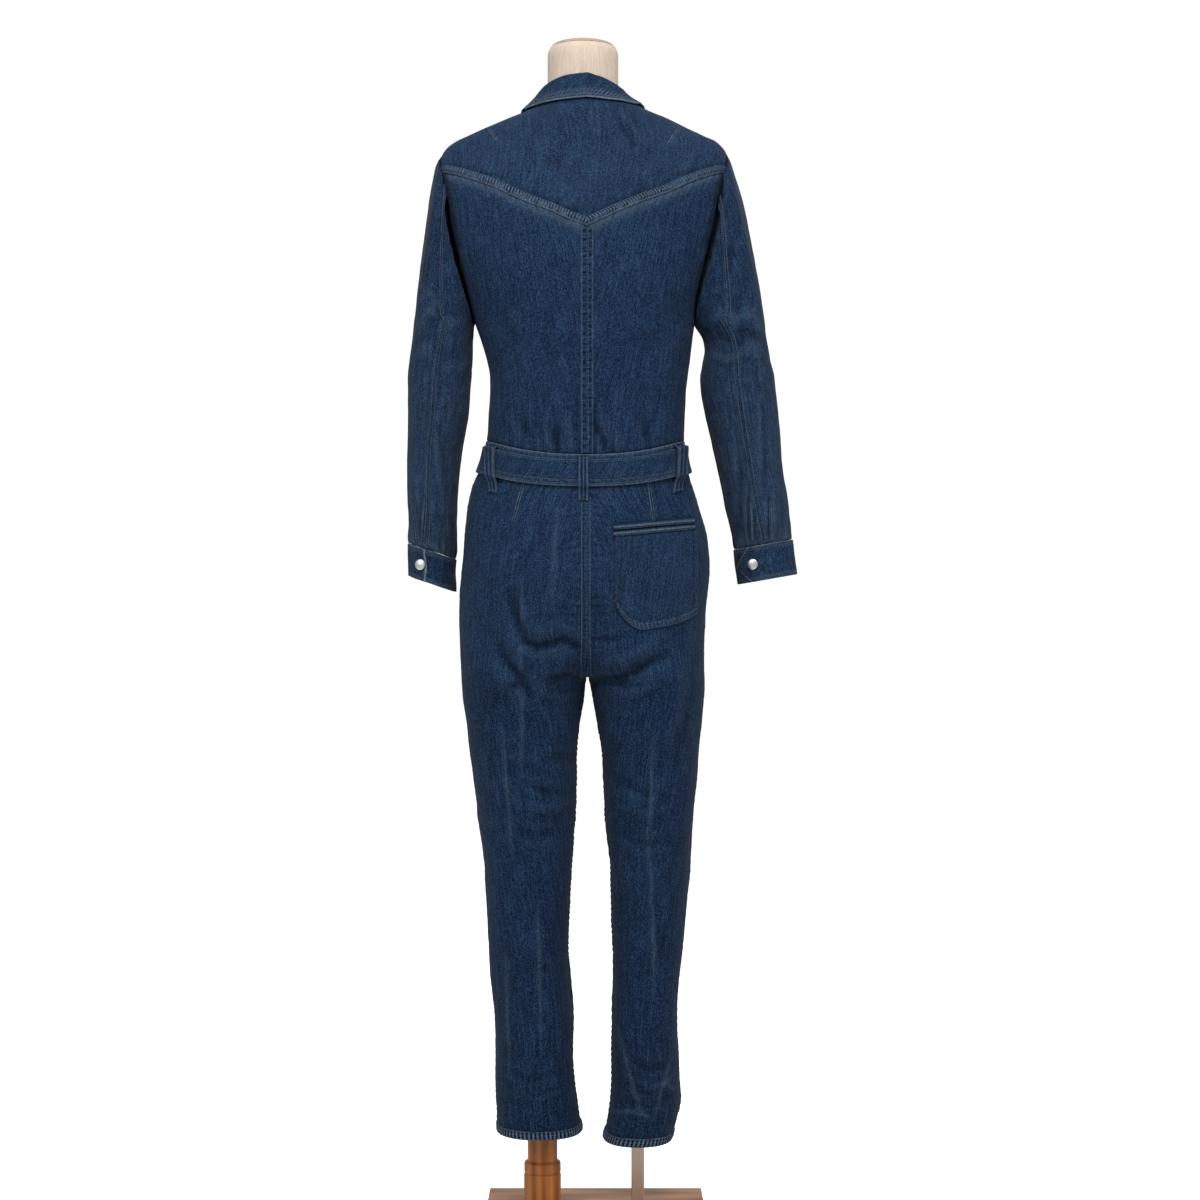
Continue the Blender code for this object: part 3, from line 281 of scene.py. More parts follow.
# Where a cuff's lap ends round the arm and how far its point runs on; where its
# snap sits; how much of the round it laps; and the walls of belt and trims.
CUFF_END = {LEFT: (-0.44, 0.03), RIGHT: (-0.70, 0.2)}
CUFF_SNAP = {LEFT: -0.385, RIGHT: -0.655}
CUFF_LAP = 0.16
TRIM_WALL = 1.4
BELT_HEIGHT = 36.0
BELT_DROP = 7.5
BELT_WALL = 3.0
BELT_OFF = 1.6
LOOP_WIDTH = 13.0
LOOP_WALL = 1.8
LOOP_CLEAR = 3.0
PATCH_OFF = 1.1
STRIP_OFF = 0.8
FORM_UNDER = {"shoulder": 4.0, "neck": 6.0}

# Collar round the neck, from the centre back (0) to the centre front (1):
# rise of the stand, how far out its fold lies, and where the fall's edge ends.
COLLAR = {
    LEFT: Table("share rise reach edge_x edge_z", """
    0 24.5 2 0 1543; 0.1 24.5 2 17.5 1542; 0.2 21.3 1 35 1541; 0.3 17.6 -2 54 1540; 0.4 14 -4 72
    1539; 0.5 13 -5 89 1537.2; 0.6 11 0 92 1520; 0.7 10 5 86 1498; 0.85 12 8 71 1460; 1 14 8 42
    1424"""),
    RIGHT: Table("share rise reach edge_x edge_z", """
    0 24.5 2 0 1543; 0.1 19.5 1 15 1542; 0.2 13.2 -1 30 1541; 0.3 7.5 -3 46 1541; 0.4 5.5 -6 62
    1541; 0.5 5.5 -6 76 1542.7; 0.6 6 -2 80 1524; 0.7 9 4 76 1500; 0.85 12 8 63 1460; 1 14 8 40
    1424"""),
}
COLLAR_LIFT = 4.4

# Turned post: radius against height, and the rest of the stand.
POST_PROFILE = ((24.4, 30.3), (25.2, 31.6), (25.2, 60.0), (25.2, 89.8), (24.6, 91.2), (23.7, 92.3), (24.5, 93.2),
    (24.9, 95.0), (24.9, 105.2), (24.3, 106.8), (22.4, 108.2), (20.5, 109.4), (20.2, 112.0), (20.5, 300.0),
    (21.0, 841.6))
POST_AT = -61.4
FORM_BOTTOM = 842.0
FORM_EASE = 9.0
NECK_RADIUS = 48.5
NECK_CENTRE = (-6.3, 10.0)
NECK_TOP = 1627.5
CAP_RADIUS = 44.0


def paired(first: Grid | float, second: Grid | float) -> list[Grid]:
    """Two values or arrays of them in one shape."""
    return np.broadcast_arrays(np.asarray(first, float), np.asarray(second, float))


def unit(vectors: Grid) -> Grid:
    """Vectors at length one, along the last axis."""
    length = np.linalg.norm(vectors, axis=-1, keepdims=True)
    return vectors / maximum(length, 1e-9)


def signed_power(value: Grid, power: float) -> Grid:
    """A power that keeps the sign."""
    return np.sign(value) * np.abs(value) ** power


def smooth(value: Grid) -> Grid:
    """A smooth step from 0 to 1, held outside."""
    value = clip(value, 0, 1)
    return value * value * (3 - 2 * value)


def bell(away: Grid, width: float) -> Grid:
    """A bell curve, 1 at no distance and fading over this width."""
    return np.exp(-(away / width) ** 2)


class Noise:
    """Smooth seeded noise from -1 to 1 over a plane."""

    SIZE = 64

    def __init__(self, seed: int) -> None:
        """Draws the lattice once."""
        self.lattice = np.random.default_rng(seed).uniform(-1, 1, (self.SIZE, self.SIZE))

    def at(self, u: Grid, v: Grid) -> Grid:
        """The noise at places given in lattice cells."""
        u, v = paired(u, v)
        i, j = np.floor(u).astype(int), np.floor(v).astype(int)
        s, t = smooth(u - i), smooth(v - j)
        pick = self.lattice
        size = self.SIZE
        low = pick[i % size, j % size] * (1 - s) + pick[(i + 1) % size, j % size] * s
        high = pick[i % size, (j + 1) % size] * (1 - s) + pick[(i + 1) % size, (j + 1) % size] * s
        return low * (1 - t) + high * t


@dataclass(frozen=True)
class Crease:
    """A fold along a line of (across, height) points; a trough has a negative depth."""

    points: tuple[tuple[float, float], ...]
    width: float
    depth: float

    def lift(self, across: Grid, height: Grid) -> Grid:
        """How far the crease moves the cloth out at these places."""
        best = np.full(np.shape(across), 1e9)
        taper = np.ones(np.shape(across))
        line = array(self.points, float)
        lengths = np.linalg.norm(np.diff(line, axis=0), axis=1)
        total = lengths.sum()
        done = 0.0
        for (x0, z0), (x1, z1), length in zip(line[:-1], line[1:], lengths):
            run_x, run_z = (x1 - x0) / length, (z1 - z0) / length
            along = clip((across - x0) * run_x + (height - z0) * run_z, 0, length)
            away = np.hypot(across - x0 - along * run_x, height - z0 - along * run_z)
            share = (done + along) / total
            nearer = away < best
            best = where(nearer, away, best)
            taper = where(nearer, sin(math.pi * (0.12 + 0.76 * share)), taper)
            done += length
        return self.depth * bell(best, self.width) * taper


def folds(rows: str) -> tuple[Crease, ...]:
    """Creases from rows of width, depth, then distances across (signed) and heights."""
    made = []
    for row in rows.split(";"):
        width, depth, *line = (float(word) for word in row.split())
        made.append(Crease(tuple(zip(line[::2], line[1::2])), width, depth))
    return tuple(made)


# The folds of the back, in millimetres across (signed) and up.
BACK_CREASES = folds("""
    8 -6 -102 880 -98 868 -83 819 -65 811 -31 820 -9 809 -1 790; 11 3 -70 834 -40 838 -14 830; 8 -5.5
    -120 812 -106 790 -90 773 -74 752; 10 3 -128 790 -104 756 -84 736; 5 -3 -52 770 -24 772 -2 764; 6
    1.6 -60 752 -36 742 -16 748; 6 -3 12 823 30 821 46 824; 8 -7 6 760 20 764 44 768 66 778 83 790 104
    801; 11 3.4 20 790 52 796 84 815; 8 2.2 40 744 72 754 100 772; 7 -2.6 146 812 137 745 124 688 108
    630; 9 1.6 128 790 120 735 108 680; 6 -3 -79 631 -62 622 -44 617; 8 2.4 -84 604 -58 596 -30 600; 8
    -1.8 -96 571 -70 560 -40 566; 8 -1.8 -60 660 -36 664 -14 655; 9 -2.2 30 640 64 622 104 612; 9 1.8 46
    596 80 588 112 596; 7 -1.6 44 560 76 548 108 552; 7 -3.6 12 1108 18 1090 25 1070; 8 2.2 30 1112 36
    1092 44 1070; 7 -3.2 -46 1104 -42 1088 -38 1068; 8 2.2 -30 1112 -24 1094 -18 1070; 7 -2.4 -86 1112
    -78 1094 -74 1076; 9 2 -110 1124 -96 1106 -92 1084; 7 -2.4 84 1116 80 1096 84 1076; 9 2 104 1122 98
    1104 104 1084; 12 -2.6 -140 1276 -118 1252 -98 1216; 14 2.2 -132 1224 -110 1190 -96 1150; 12 -2.6
    134 1280 116 1254 100 1220; 14 2.2 128 1228 108 1196 98 1156; 3.5 1.6 46 1529 58 1508 72 1483; 4
    -1.2 37 1524 48 1500 60 1478; 3 1.3 30 1502 38 1474; 3 1.3 11.6 1542 14.4 1495; 3 0.9 4 1538 6 1500;
    2 -1.2 -84 1029 -91 1004 -98 976; 2 -1.2 82.8 1030 86 1005 89.2 978; 1.8 -1 -133.7 1511 -127 1500
    -120.6 1489; 1.8 -1 125.6 1513 117 1498 109 1482; 12 -0.9 -96 1480 -70 1470 -50 1450; 12 -0.9 96
    1474 70 1462 48 1446; 6 -1.8 60 262 84 246 108 250; 5 1.6 56 236 84 222 112 228; 5 -1.5 48 206 80
    196 110 206; 6 -1.6 -112 246 -80 232 -44 240; 6 1.3 -104 214 -70 204 -36 214; 3 -1.6 148.4 1000 153
    970 157 940""")
FRONT_CREASES = folds("""
    10 -5 -66 880 -40 830 -8 796; 10 -5 66 880 40 830 8 796; 11 -3.6 -112 792 -76 768 -38 758; 11 -3.6
    112 792 76 768 38 758; 10 -3.4 -104 560 -70 574 -38 572; 10 -3.4 48 572 80 574 108 556; 8 -2.6 -60
    1112 -54 1094 -50 1072; 8 -2.6 60 1112 54 1094 50 1072; 8 2 -100 1120 -90 1100 -88 1080; 8 2 100
    1120 90 1100 88 1080; 13 -2.4 -130 1290 -104 1262 -84 1220; 13 -2.4 130 1290 104 1262 84 1220; 7
    -1.6 -104 250 -72 236 -40 246; 7 -1.6 54 240 84 226 112 236""")


# The folds of the sleeves seen from behind: pleats at the cuffs, the slit's
# bound edges, and the long folds down from elbow and shoulder.
ARM_CREASES = folds("""
    2.6 -2 216.6 1016 219.2 950; 2.4 1.4 221 1010 223.4 950; 2.4 -1.5 225.6 1000 227.8 948; 2.6 -2.2
    245.2 1012 245.7 955; 4 1.2 251 1020 252 960; 4 -1 262 1030 266 966; 5 -2 208 1060 207 1010 206 960;
    6 1.6 196 1080 200 1040; 6 -1.6 238 1130 240 1060 238 1000; 6 1.4 230 1150 231 1090 232 1020; 8 -2.4
    204 1300 206 1240 214 1180; 8 1.8 222 1290 228 1220 236 1150; 7 -2 172 1240 188 1222 204 1216; 7 1.6
    170 1204 188 1196 206 1200; 8 -2.6 192 1420 194 1360 188 1300; 8 1.2 206 1400 210 1330; 2.6 -2.6
    -214.6 1012 -217 975 -220.2 946; 2.6 1.6 -220 1010 -225 950; 2.8 -2.2 -239.3 1009 -232.6 953; 2.2
    -1.2 -223.6 984 -223.6 950; 4 1.2 -232 1040 -229 1000; 6 -1.8 -196 1100 -190 1040 -184 990; 6 1.6
    -206 1120 -202 1060 -198 1000; 8 -1.4 -226 1180 -228 1110 -230 1050; 9 1.8 -214 1300 -220 1230 -224
    1170; 9 -2.2 -196 1290 -200 1220 -200 1150; 8 -1.8 -212 1420 -214 1350""")


class Drape:
    """The folds and the small unevenness of the worn cloth."""

    def __init__(self) -> None:
        """Seeds one noise for each size of unevenness."""
        self.slow, self.middle, self.fine = Noise(11), Noise(23), Noise(37)

    def body(self, face: Face, across: Grid, height: Grid) -> Grid:
        """How far the cloth of the body stands out of its smooth surface."""
        moved = np.zeros(np.shape(across))
        for crease in BACK_CREASES if face == BACK else FRONT_CREASES:
            moved += crease.lift(across, height)
        seed = 0.0 if face == BACK else 17.3
        tight = 0.45 + 0.55 * smooth((1330 - height) / 120)
        moved += tight * 1.7 * self.slow.at(across / 74 + seed, height / 118 + seed)
        moved += tight * 0.8 * self.middle.at(across / 30 + seed, height / 44)
        moved += 0.28 * self.fine.at(across / 11.5 + seed, height / 15)
        waist = bell(height - 1086, 42)
        moved += waist * 0.9 * self.fine.at(across / 8.5 + seed, height / 60 + 3.0)
        shin = smooth((640 - height) / 120) * smooth((height - 160) / 60)
        moved += shin * 0.8 * self.middle.at(across / 24 + 5 + seed, height / 52 + seed)
        knee = bell(height - 600, 95)
        moved += knee * 0.7 * self.middle.at(across / 46 + 9 + seed, height / 17 + seed)
        hem = bell(height - 185, 48)
        moved += hem * 0.6 * self.middle.at(across / 26 + 2 + seed, height / 15)
        return moved

    def arm(self, side: Side, around: Grid, height: Grid) -> Grid:
        """The same for an arm, by place round it and height."""
        seed = 3.1 * side
        moved = 1.3 * self.slow.at(around * 2.2 + seed, height / 84 + seed)
        moved += 0.5 * self.middle.at(around * 6 + seed, height / 46 + around * 1.4)
        moved += 0.3 * self.fine.at(around * 16 + seed, height / 13)
        elbow = bell(height - 1205, 70)
        moved += elbow * 1.0 * self.middle.at(around * 3.2 + 7 + seed, height / 19 + around * 2.0)
        behind = smooth((0.1 - around) / 0.2)
        across = Arm.base(side, height, around)[..., 0]
        for crease in ARM_CREASES:
            if crease.points[0][0] * side > 0:
                moved += behind * crease.lift(across, height)
        wrist = bell(height - 985, 34)
        moved += wrist * 1.1 * self.fine.at(around * 13 + seed, height / 60)
        moved += wrist * 0.35 * self.middle.at(around * 4 + seed, height / 14)
        cap = bell(height - 1440, 40)
        return moved * (1 - 0.55 * cap)


DRAPE = Drape()
crinkle, swell = DRAPE.fine.at, DRAPE.middle.at


class Body:
    """The smooth surface of bodice, hips and legs."""

    @staticmethod
    def split(z: Grid) -> Grid:
        """0 where the hips are one ring, 1 where each leg is a ring of its own."""
        return clip((SEAT_SPLITS - z) / (SEAT_SPLITS - CROTCH), 0, 1) ** 2

    @classmethod
    def last_angle(cls, z: Grid) -> Grid:
        """The section angle at the centre seam or the inner leg seam."""
        return math.pi - np.arccos(cls.split(z) ** (FULLNESS / 2))

    @classmethod
    def base(cls, side: Side, face: Face, z: Grid, angle: Grid) -> Grid:
        """Points of the plain body; angle 0 is the side seam, pi/2 the middle."""
        z, angle = paired(z, angle)
        cut = BODY[side]
        outer, inner = cut.at("outer", z), maximum(cut.at("inner", z), 0)
        depth = cut.at(f"{face}", z)
        half = (outer - inner) / (1 + cls.split(z))
        x = outer - half + half * signed_power(cos(angle), 2 / FULLNESS)
        drop = clip(RIDGE[side].at("height", np.abs(x)) - z, 0, TOP_ROUND[face])
        over = np.sqrt(1 - (1 - drop / TOP_ROUND[face]) ** 2)
        y = depth * signed_power(sin(angle), 2 / FULLNESS) * over
        return stack([side * x, face * y, z], axis=-1)

    @classmethod
    def normal(cls, side: Side, face: Face, z: Grid, angle: Grid) -> Grid:
        """Outward normals of the plain body."""
        z, angle = paired(z, angle)
        level = z
        clear = RIDGE[side].at("height", np.abs(cls.base(side, face, z, angle)[..., 0])) - 2 * PROBE_MM
        z = minimum(z, clear)
        turn = cls.base(side, face, z, angle + PROBE) - cls.base(side, face, z, angle - PROBE)
        rise = cls.base(side, face, z + PROBE_MM, angle) - cls.base(side, face, z - PROBE_MM, angle)
        normal = side * face * unit(np.cross(turn, rise))
        normal[..., 1] *= clip((clear + 2 * PROBE_MM - level) / (4 * PROBE_MM), 0, 1)
        return unit(normal)

    @classmethod
    def angle_at(cls, side: Side, x: Grid, z: Grid) -> Grid:
        """The section angle of a torso or hip point this far out."""
        share = clip(np.abs(x) / BODY[side].at("outer", z), 0, 1)
        return np.arccos(share ** (FULLNESS / 2))

    @classmethod
    def leg_angle_at(cls, side: Side, x: Grid, z: Grid) -> Grid:
        """The section angle of a leg point this far out."""
        cut = BODY[side]
        outer, inner = cut.at("outer", z), maximum(cut.at("inner", z), 0)
        half = (outer - inner) / (1 + cls.split(z))
        share = (np.abs(x) - outer + half) / half
        return np.arccos(clip(signed_power(share, FULLNESS / 2), -1, 1))

    @staticmethod
    def waist(face: Face, angle: Grid, below: float = 0.0) -> Grid:
        """The height of the waist seam, or of a line below it."""
        return WAIST - below - DIP[face] * sin(angle) ** 2


class Arm:
    """The smooth surface of a sleeve and its cuff."""

    @staticmethod
    def base(side: Side, z: Grid, around: Grid) -> Grid:
        """Sleeve points: around is -1 at the back armhole, 0 outside, 1 in front."""
        z, around = paired(z, around)
        cut = SLEEVE[side]
        outer = array([cut.at("outer", z), cut.at("lean", z)])
        behind = around < 0
        reach = where(behind, cut.at("back", z), cut.at("front", z))
        hole = where(behind, ARMHOLE[side].at("back", z), ARMHOLE[side].at("front", z))
        angle = Body.angle_at(side, hole, z)
        seam = where(behind, Body.base(side, BACK, z, angle)[..., 1], Body.base(side, FRONT, z, angle)[..., 1])
        above = z > ARMPIT
        start = array([where(above, hole, cut.at("inner", z)), where(above, seam, cut.at("lean", z))])
        sign = where(behind, -1, 1)
        depth = np.abs(start[1] - outer[1])
        reach = maximum(reach, depth)
        out = 0.55 * (outer[0] - start[0]) * depth / maximum(reach, 1)
        first = start + array([out, sign * 4 / 3 * (reach - depth)])
        second = outer + array([0 * z, sign * (4 / 3 * reach - 0.783 * depth)])
        t = 1 - np.abs(around)
        flat = ((1 - t) ** 3 * start + 3 * t * (1 - t) ** 2 * first + 3 * t * t * (1 - t) * second + t ** 3 * outer)
        inward = (outer[0] - flat[0]) / maximum(outer[0] - start[0], 1)
        return stack([side * flat[0], flat[1], z - cut.at("droop", z) * inward], axis=-1)

    @classmethod
    def normal(cls, side: Side, z: Grid, around: Grid) -> Grid:
        """Outward normals of the sleeve."""
        z, around = paired(z, around)
        z = minimum(z, TIP[side][1] - 2 * PROBE_MM)
        middle = where(np.abs(around) > 1 - PROBE, np.sign(around) * (1 - PROBE), around)
        turn = cls.base(side, z, middle + PROBE) - cls.base(side, z, middle - PROBE)
        rise = cls.base(side, z + PROBE_MM, middle) - cls.base(side, z - PROBE_MM, middle)
        return side * unit(np.cross(turn, rise))


# ---- mesh making


def travel(grid: Grid, axis: int) -> Grid:
    """Distance travelled along one axis of a grid of points."""
    step = np.linalg.norm(np.diff(grid, axis=axis), axis=-1)
    pad = np.zeros_like(np.take(step, [0], axis=axis))
    return np.cumsum(concatenate([pad, step], axis=axis), axis=axis)


def read_at(at: Grid, travelled: Grid, line: Grid) -> Grid:
    """Points or vectors of a line read at these distances along it."""
    return stack([np.interp(at, travelled, column) for column in line.T], axis=-1)


def blurred(field_: Grid, times: int) -> Grid:
    """A grid of values averaged with its neighbours a few times."""
    for _ in range(times):
        padded = np.pad(field_, 1, mode="edge")
        field_ = (padded[:-2, 1:-1] + padded[2:, 1:-1] + padded[1:-1, :-2] + padded[1:-1, 2:] + 4 * padded[1:-1,
            1:-1]) / 8
    return field_


def draw_in(grid: Grid, by: float, sides: str = "tblr") -> Grid:
    """Moves a grid's edges in over the cloth, so that pieces stay apart at seams.

    Args:
        grid: points in rows and columns.
        by: how far each edge moves.
        sides: which of top, bottom, left and right edges move.

    Returns:
        The moved grid.
    """
    moved = grid.copy()
    edges = {"t": (np.s_[0], np.s_[1]), "b": (np.s_[-1], np.s_[-2]), "l": (np.s_[:, 0], np.s_[:, 1]),
        "r": (np.s_[:, -1], np.s_[:, -2])}
    for key in sides:
        end, start = edges[key]
        along = unit(gradient(grid[end], axis=0))
        over = grid[start] - grid[end]
        over = over - along * np.sum(over * along, axis=-1, keepdims=True)
        moved[end] += by * unit(over)
    return moved


@dataclass
class Cloth:
    """A panel: its fine middle surface, its folds and what its edges do."""

    name: str
    base: Grid
    normal: Grid
    lift: Grid
    wall: float = WALL
    worn: Grid | float = 0.0
    shade: Grid | float = 0.0
    # How much the fold ridges wear pale and the fold troughs get painted shade.
    rub: float = 1.0
    edges: str = "tblr"
    gap: float = SEAM / 2

    def shell(self) -> Piece:
        """Makes the closed shell with its UV map, its wear and its painted shade."""
        lift = self.lift.copy()
        ridge = lift - blurred(lift, 5)
        for key in self.edges:
            edge = {"t": np.s_[0], "b": np.s_[-1], "l": np.s_[:, 0], "r": np.s_[:, -1]}[key]
            lift[edge] -= EDGE_ROUND
        outer = self.base + self.normal * lift[..., None]
        inner = self.base + self.normal * (lift - self.wall)[..., None]
        if self.gap:
            outer, inner = draw_in(outer, self.gap), draw_in(inner, self.gap)
        self.outer = outer
        # Fold ridges wear pale and fold troughs get painted shade, both scaled per panel.
        worn = clip(self.worn + 0 * lift + self.rub * 1.5 * clip(ridge, 0, 0.2), 0, 1)
        # Painted shade: the troughs of the folds plus the panel's own painted shade.
        deep = clip((-0.9 - 1.5 * self.rub) * ridge, 0, 0.8) + self.shade
        deep = clip(deep, 0, 1)
        u, v = travel(outer, 1), travel(outer, 0)
        return grid_shell(self.name, outer, inner, stack([u, v], axis=-1) * MM, worn, deep)


def grid_shell(name: str, outer: Grid, inner: Grid, uv: Grid, worn: Grid, deep: Grid) -> Piece:
    """A closed wall between two grids, with a UV map and two attributes.

    Args:
        name: the object's name.
        outer: outer points in millimetres, rows by columns.
        inner: inner points of the same grid.
        uv: distances over the cloth in metres.
        worn: how pale the cloth is worn, 0 to 1.
        deep: how much painted shade darkens a place, 0 to 1, in grooves, fold troughs and under edges.

    Returns:
        The new object.
    """
    rows, columns = outer.shape[:2]
    layer = rows * columns
    index = np.arange(layer).reshape(rows, columns)
    a, b, c, d = index[:-1, :-1], index[:-1, 1:], index[1:, 1:], index[1:, :-1]
    front = stack([a, b, c, d], axis=-1).reshape(-1, 4)
    back = front[:, ::-1] + layer
    rim = []
    for line in (index[0], index[:, -1], index[-1, ::-1], index[::-1, 0]):
        rim.append(stack([line[1:], line[:-1], line[:-1] + layer, line[1:] + layer], axis=-1))
    faces = concatenate([front, back, *rim])
    points = concatenate([outer.reshape(-1, 3), inner.reshape(-1, 3)]) * MM
    quad = front.reshape(rows - 1, columns - 1, 4)[rows // 2, columns // 2]
    facing = np.cross(points[quad[1]] - points[quad[0]], points[quad[3]] - points[quad[0]])
    outward = points[quad[0]] - points[quad[0] + layer]
    if facing @ outward < 0:
        faces = faces[:, ::-1]
    mesh = bpy.data.meshes.new(name)
    mesh.vertices.add(len(points))
    mesh.vertices.foreach_set("co", points.astype(np.float32).ravel())
    mesh.loops.add(faces.size)
    mesh.loops.foreach_set("vertex_index", faces.astype(np.int32).ravel())
    mesh.polygons.add(len(faces))
    mesh.polygons.foreach_set("loop_start", np.arange(0, faces.size, 4, dtype=np.int32))
    mesh.polygons.foreach_set("loop_total", np.full(len(faces), 4, np.int32))
    mesh.update(calc_edges=True)
    mesh.validate()
    both = concatenate([uv.reshape(-1, 2)] * 2).astype(np.float32)
    order = np.zeros(len(mesh.loops), np.int32)
    mesh.loops.foreach_get("vertex_index", order)
    layer_uv = mesh.uv_layers.new(name="cloth")
    layer_uv.data.foreach_set("uv", both[order].ravel())
    # Wear and painted shade are kept with the points of both walls.
    for title, values in (("worn", worn), ("deep", deep)):
        attribute = mesh.attributes.new(title, "FLOAT", "POINT")
        attribute.data.foreach_set("value", np.tile(values.ravel(), 2).astype(np.float32))
    mesh.shade_smooth()
    mesh.set_sharp_from_angle(angle=math.radians(55))
    obj = placed(name, mesh)
    return obj


# The shape of one stitch: distances along, across and up, in stitch lengths
# and thread widths.
STITCH_POINTS = array([(-0.5, 0, -0.2), (-0.3, -0.5, 0), (-0.3, 0, 0.5), (-0.3, 0.5, 0), (-0.3, 0, -0.5),
    (0.3, -0.5, 0), (0.3, 0, 0.5), (0.3, 0.5, 0), (0.3, 0, -0.5), (0.5, 0, -0.2)])
STITCH_FACES = [(0, 2, 1), (0, 3, 2), (0, 4, 3), (0, 1, 4), (1, 2, 6, 5), (2, 3, 7, 6), (3, 4, 8, 7), (4, 1, 5, 8),
    (9, 5, 6), (9, 6, 7), (9, 7, 8), (9, 8, 5)]


@dataclass
class Thread:
    """Rows of stitches, gathered and made into one mesh."""

    name: str
    pitch: float = 3.6
    length: float = 2.7
    width: float = 0.55
    rows: list[tuple[Grid, Grid]] = field(default_factory=list)

    def row(self, points: Grid, normals: Grid, above: float = 0.12) -> None:
        """Adds a row of stitches along a line on the cloth."""
        self.rows.append((points + normals * above, normals))

    def sew(self) -> Piece:
        """Makes the mesh of every stitch."""
        vertices, faces = [], []
        count = 0
        for points, normals in self.rows:
            travelled = travel(points[None], 1)[0]
            if travelled[-1] < self.pitch:
                continue
            at = np.arange(self.pitch / 2, travelled[-1], self.pitch)
            place, up = read_at(at, travelled, points), unit(read_at(at, travelled, normals))
            tangent = read_at(at, travelled, gradient(points, axis=0))
            tangent = unit(tangent - up * np.sum(tangent * up, axis=-1, keepdims=True))
            across = np.cross(up, tangent)
            shape = (place[:, None] + STITCH_POINTS[None, :, 0:1] * self.length * tangent[:, None]
                + STITCH_POINTS[None, :, 1:2] * self.width * across[:, None] + STITCH_POINTS[None, :,
                2:3] * self.width * up[:, None])
            vertices.append(shape.reshape(-1, 3))
            for number in range(len(at)):
                start = count + number * len(STITCH_POINTS)
                faces += [[start + i for i in face] for face in STITCH_FACES]
            count += len(at) * len(STITCH_POINTS)
        mesh = bpy.data.meshes.new(self.name)
        mesh.from_pydata((concatenate(vertices) * MM).tolist(), [], faces)
        mesh.shade_smooth()
        obj = placed(self.name, mesh)
        recalculate(obj)
        return obj


def placed(name: str, data: bpy.types.ID) -> Piece:
    """A new object in the scene that holds this mesh, light or camera."""
    obj = bpy.data.objects.new(name, data)
    bpy.context.scene.collection.objects.link(obj)
    return obj


def recalculate(obj: Piece) -> None:
    """Turns an object's faces outwards."""
    work = bmesh.new()
    work.from_mesh(obj.data)
    bmesh.ops.recalc_face_normals(work, faces=work.faces)
    work.to_mesh(obj.data)
    work.free()


def coons(bottom: Grid, top: Grid, side: Grid, centre: Grid) -> Grid:
    """Fills a four-sided patch; rows run from the bottom to the top edge."""
    u = linspace(0, 1, len(bottom))[None, :, None]
    v = linspace(0, 1, len(side))[:, None, None]
    corners = ((1 - u) * (1 - v) * bottom[0] + u * (1 - v) * bottom[-1] + (1 - u) * v * top[0] + u * v * top[-1])
    return ((1 - v) * bottom[None] + v * top[None] + (1 - u) * side[:, None] + u * centre[:, None] - corners)


def joined(left: Grid, right: Grid) -> Grid:
    """A left and a right half as one grid, their middle column shared."""
    return concatenate([left, right[:, -2::-1]], axis=1)


# ---- materials


Colour = tuple[float, float, float]


class Nodes:
    """A node tree with short ways to add nodes and to join them."""

    def __init__(self, tree: Tree) -> None:
        """Keeps the tree."""
        self.tree = tree

    def put(self, socket: Socket, value: object) -> None:
        """Joins a socket to an input, or sets the input to a number, colour or vector."""
        if isinstance(value, Socket):
            self.tree.links.new(value, socket)
        elif socket.type == "RGBA":
            socket.default_value = (*value, 1.0)
        else:
            socket.default_value = value

    def add(self, kind: str, **values: object) -> Node:
        """Adds a node; values set its properties, or its inputs by name."""
        node = self.tree.nodes.new(f"ShaderNode{kind}")
        for name, value in values.items():
            if name.replace("_", " ") in node.inputs:
                self.put(node.inputs[name.replace("_", " ")], value)
            else:
                setattr(node, name, value)
        return node

    def math(self, operation: str, first: object, second: object, clamp: bool = False) -> Socket:
        """A Math node's output for two numbers or sockets."""
        node = self.add("Math", operation=operation, use_clamp=clamp)
        self.put(node.inputs[0], first)
        self.put(node.inputs[1], second)
        return node.outputs[0]

    def plus(self, first: object, second: object, clamp: bool = False) -> Socket:
        """The sum of two numbers or sockets."""
        return self.math("ADD", first, second, clamp)

    def times(self, first: object, second: object) -> Socket:
        """Their product."""
        return self.math("MULTIPLY", first, second)

    def about(self, value: Socket, gain: object) -> Socket:
        """A value from 0 to 1 moved to lie about 0, and made this much stronger."""
        return self.times(self.math("SUBTRACT", value, 0.5), gain)

    def mix(self, share: Socket, first: object, second: object) -> Socket:
        """A colour between two colours or sockets."""
        node = self.add("Mix", data_type="RGBA")
        for number, value in ((0, share), (6, first), (7, second)):
            self.put(node.inputs[number], value)
        return node.outputs[2]

    def noise(self, vector: Socket, scale: float, stretch: Colour = (1, 1, 1), detail: float = 3.0) -> Socket:
        """A noise of this many cells a metre, stretched by the three numbers."""
        mapping = self.add("Mapping", Vector=vector, Scale=stretch)
        return self.add("TexNoise", Vector=mapping.outputs[0], Scale=scale, Detail=detail).outputs["Fac"]

    def ramp(self, value: Socket, low: float, high: float) -> Socket:
        """0 at low and under, 1 at high and over."""
        return self.add("MapRange", Value=value, From_Min=low, From_Max=high).outputs[0]

    def place(self) -> Socket:
        """The place on the object, in metres."""
        return self.add("TexCoord").outputs["Object"]

    def cloth(self) -> Socket:
        """The place on the cloth, from its own UV map."""
        return self.add("UVMap", uv_map="cloth").outputs["UV"]

    def marked(self, name: str) -> Socket:
        """A value kept with the mesh's points."""
        return self.add("Attribute", attribute_name=name).outputs["Fac"]


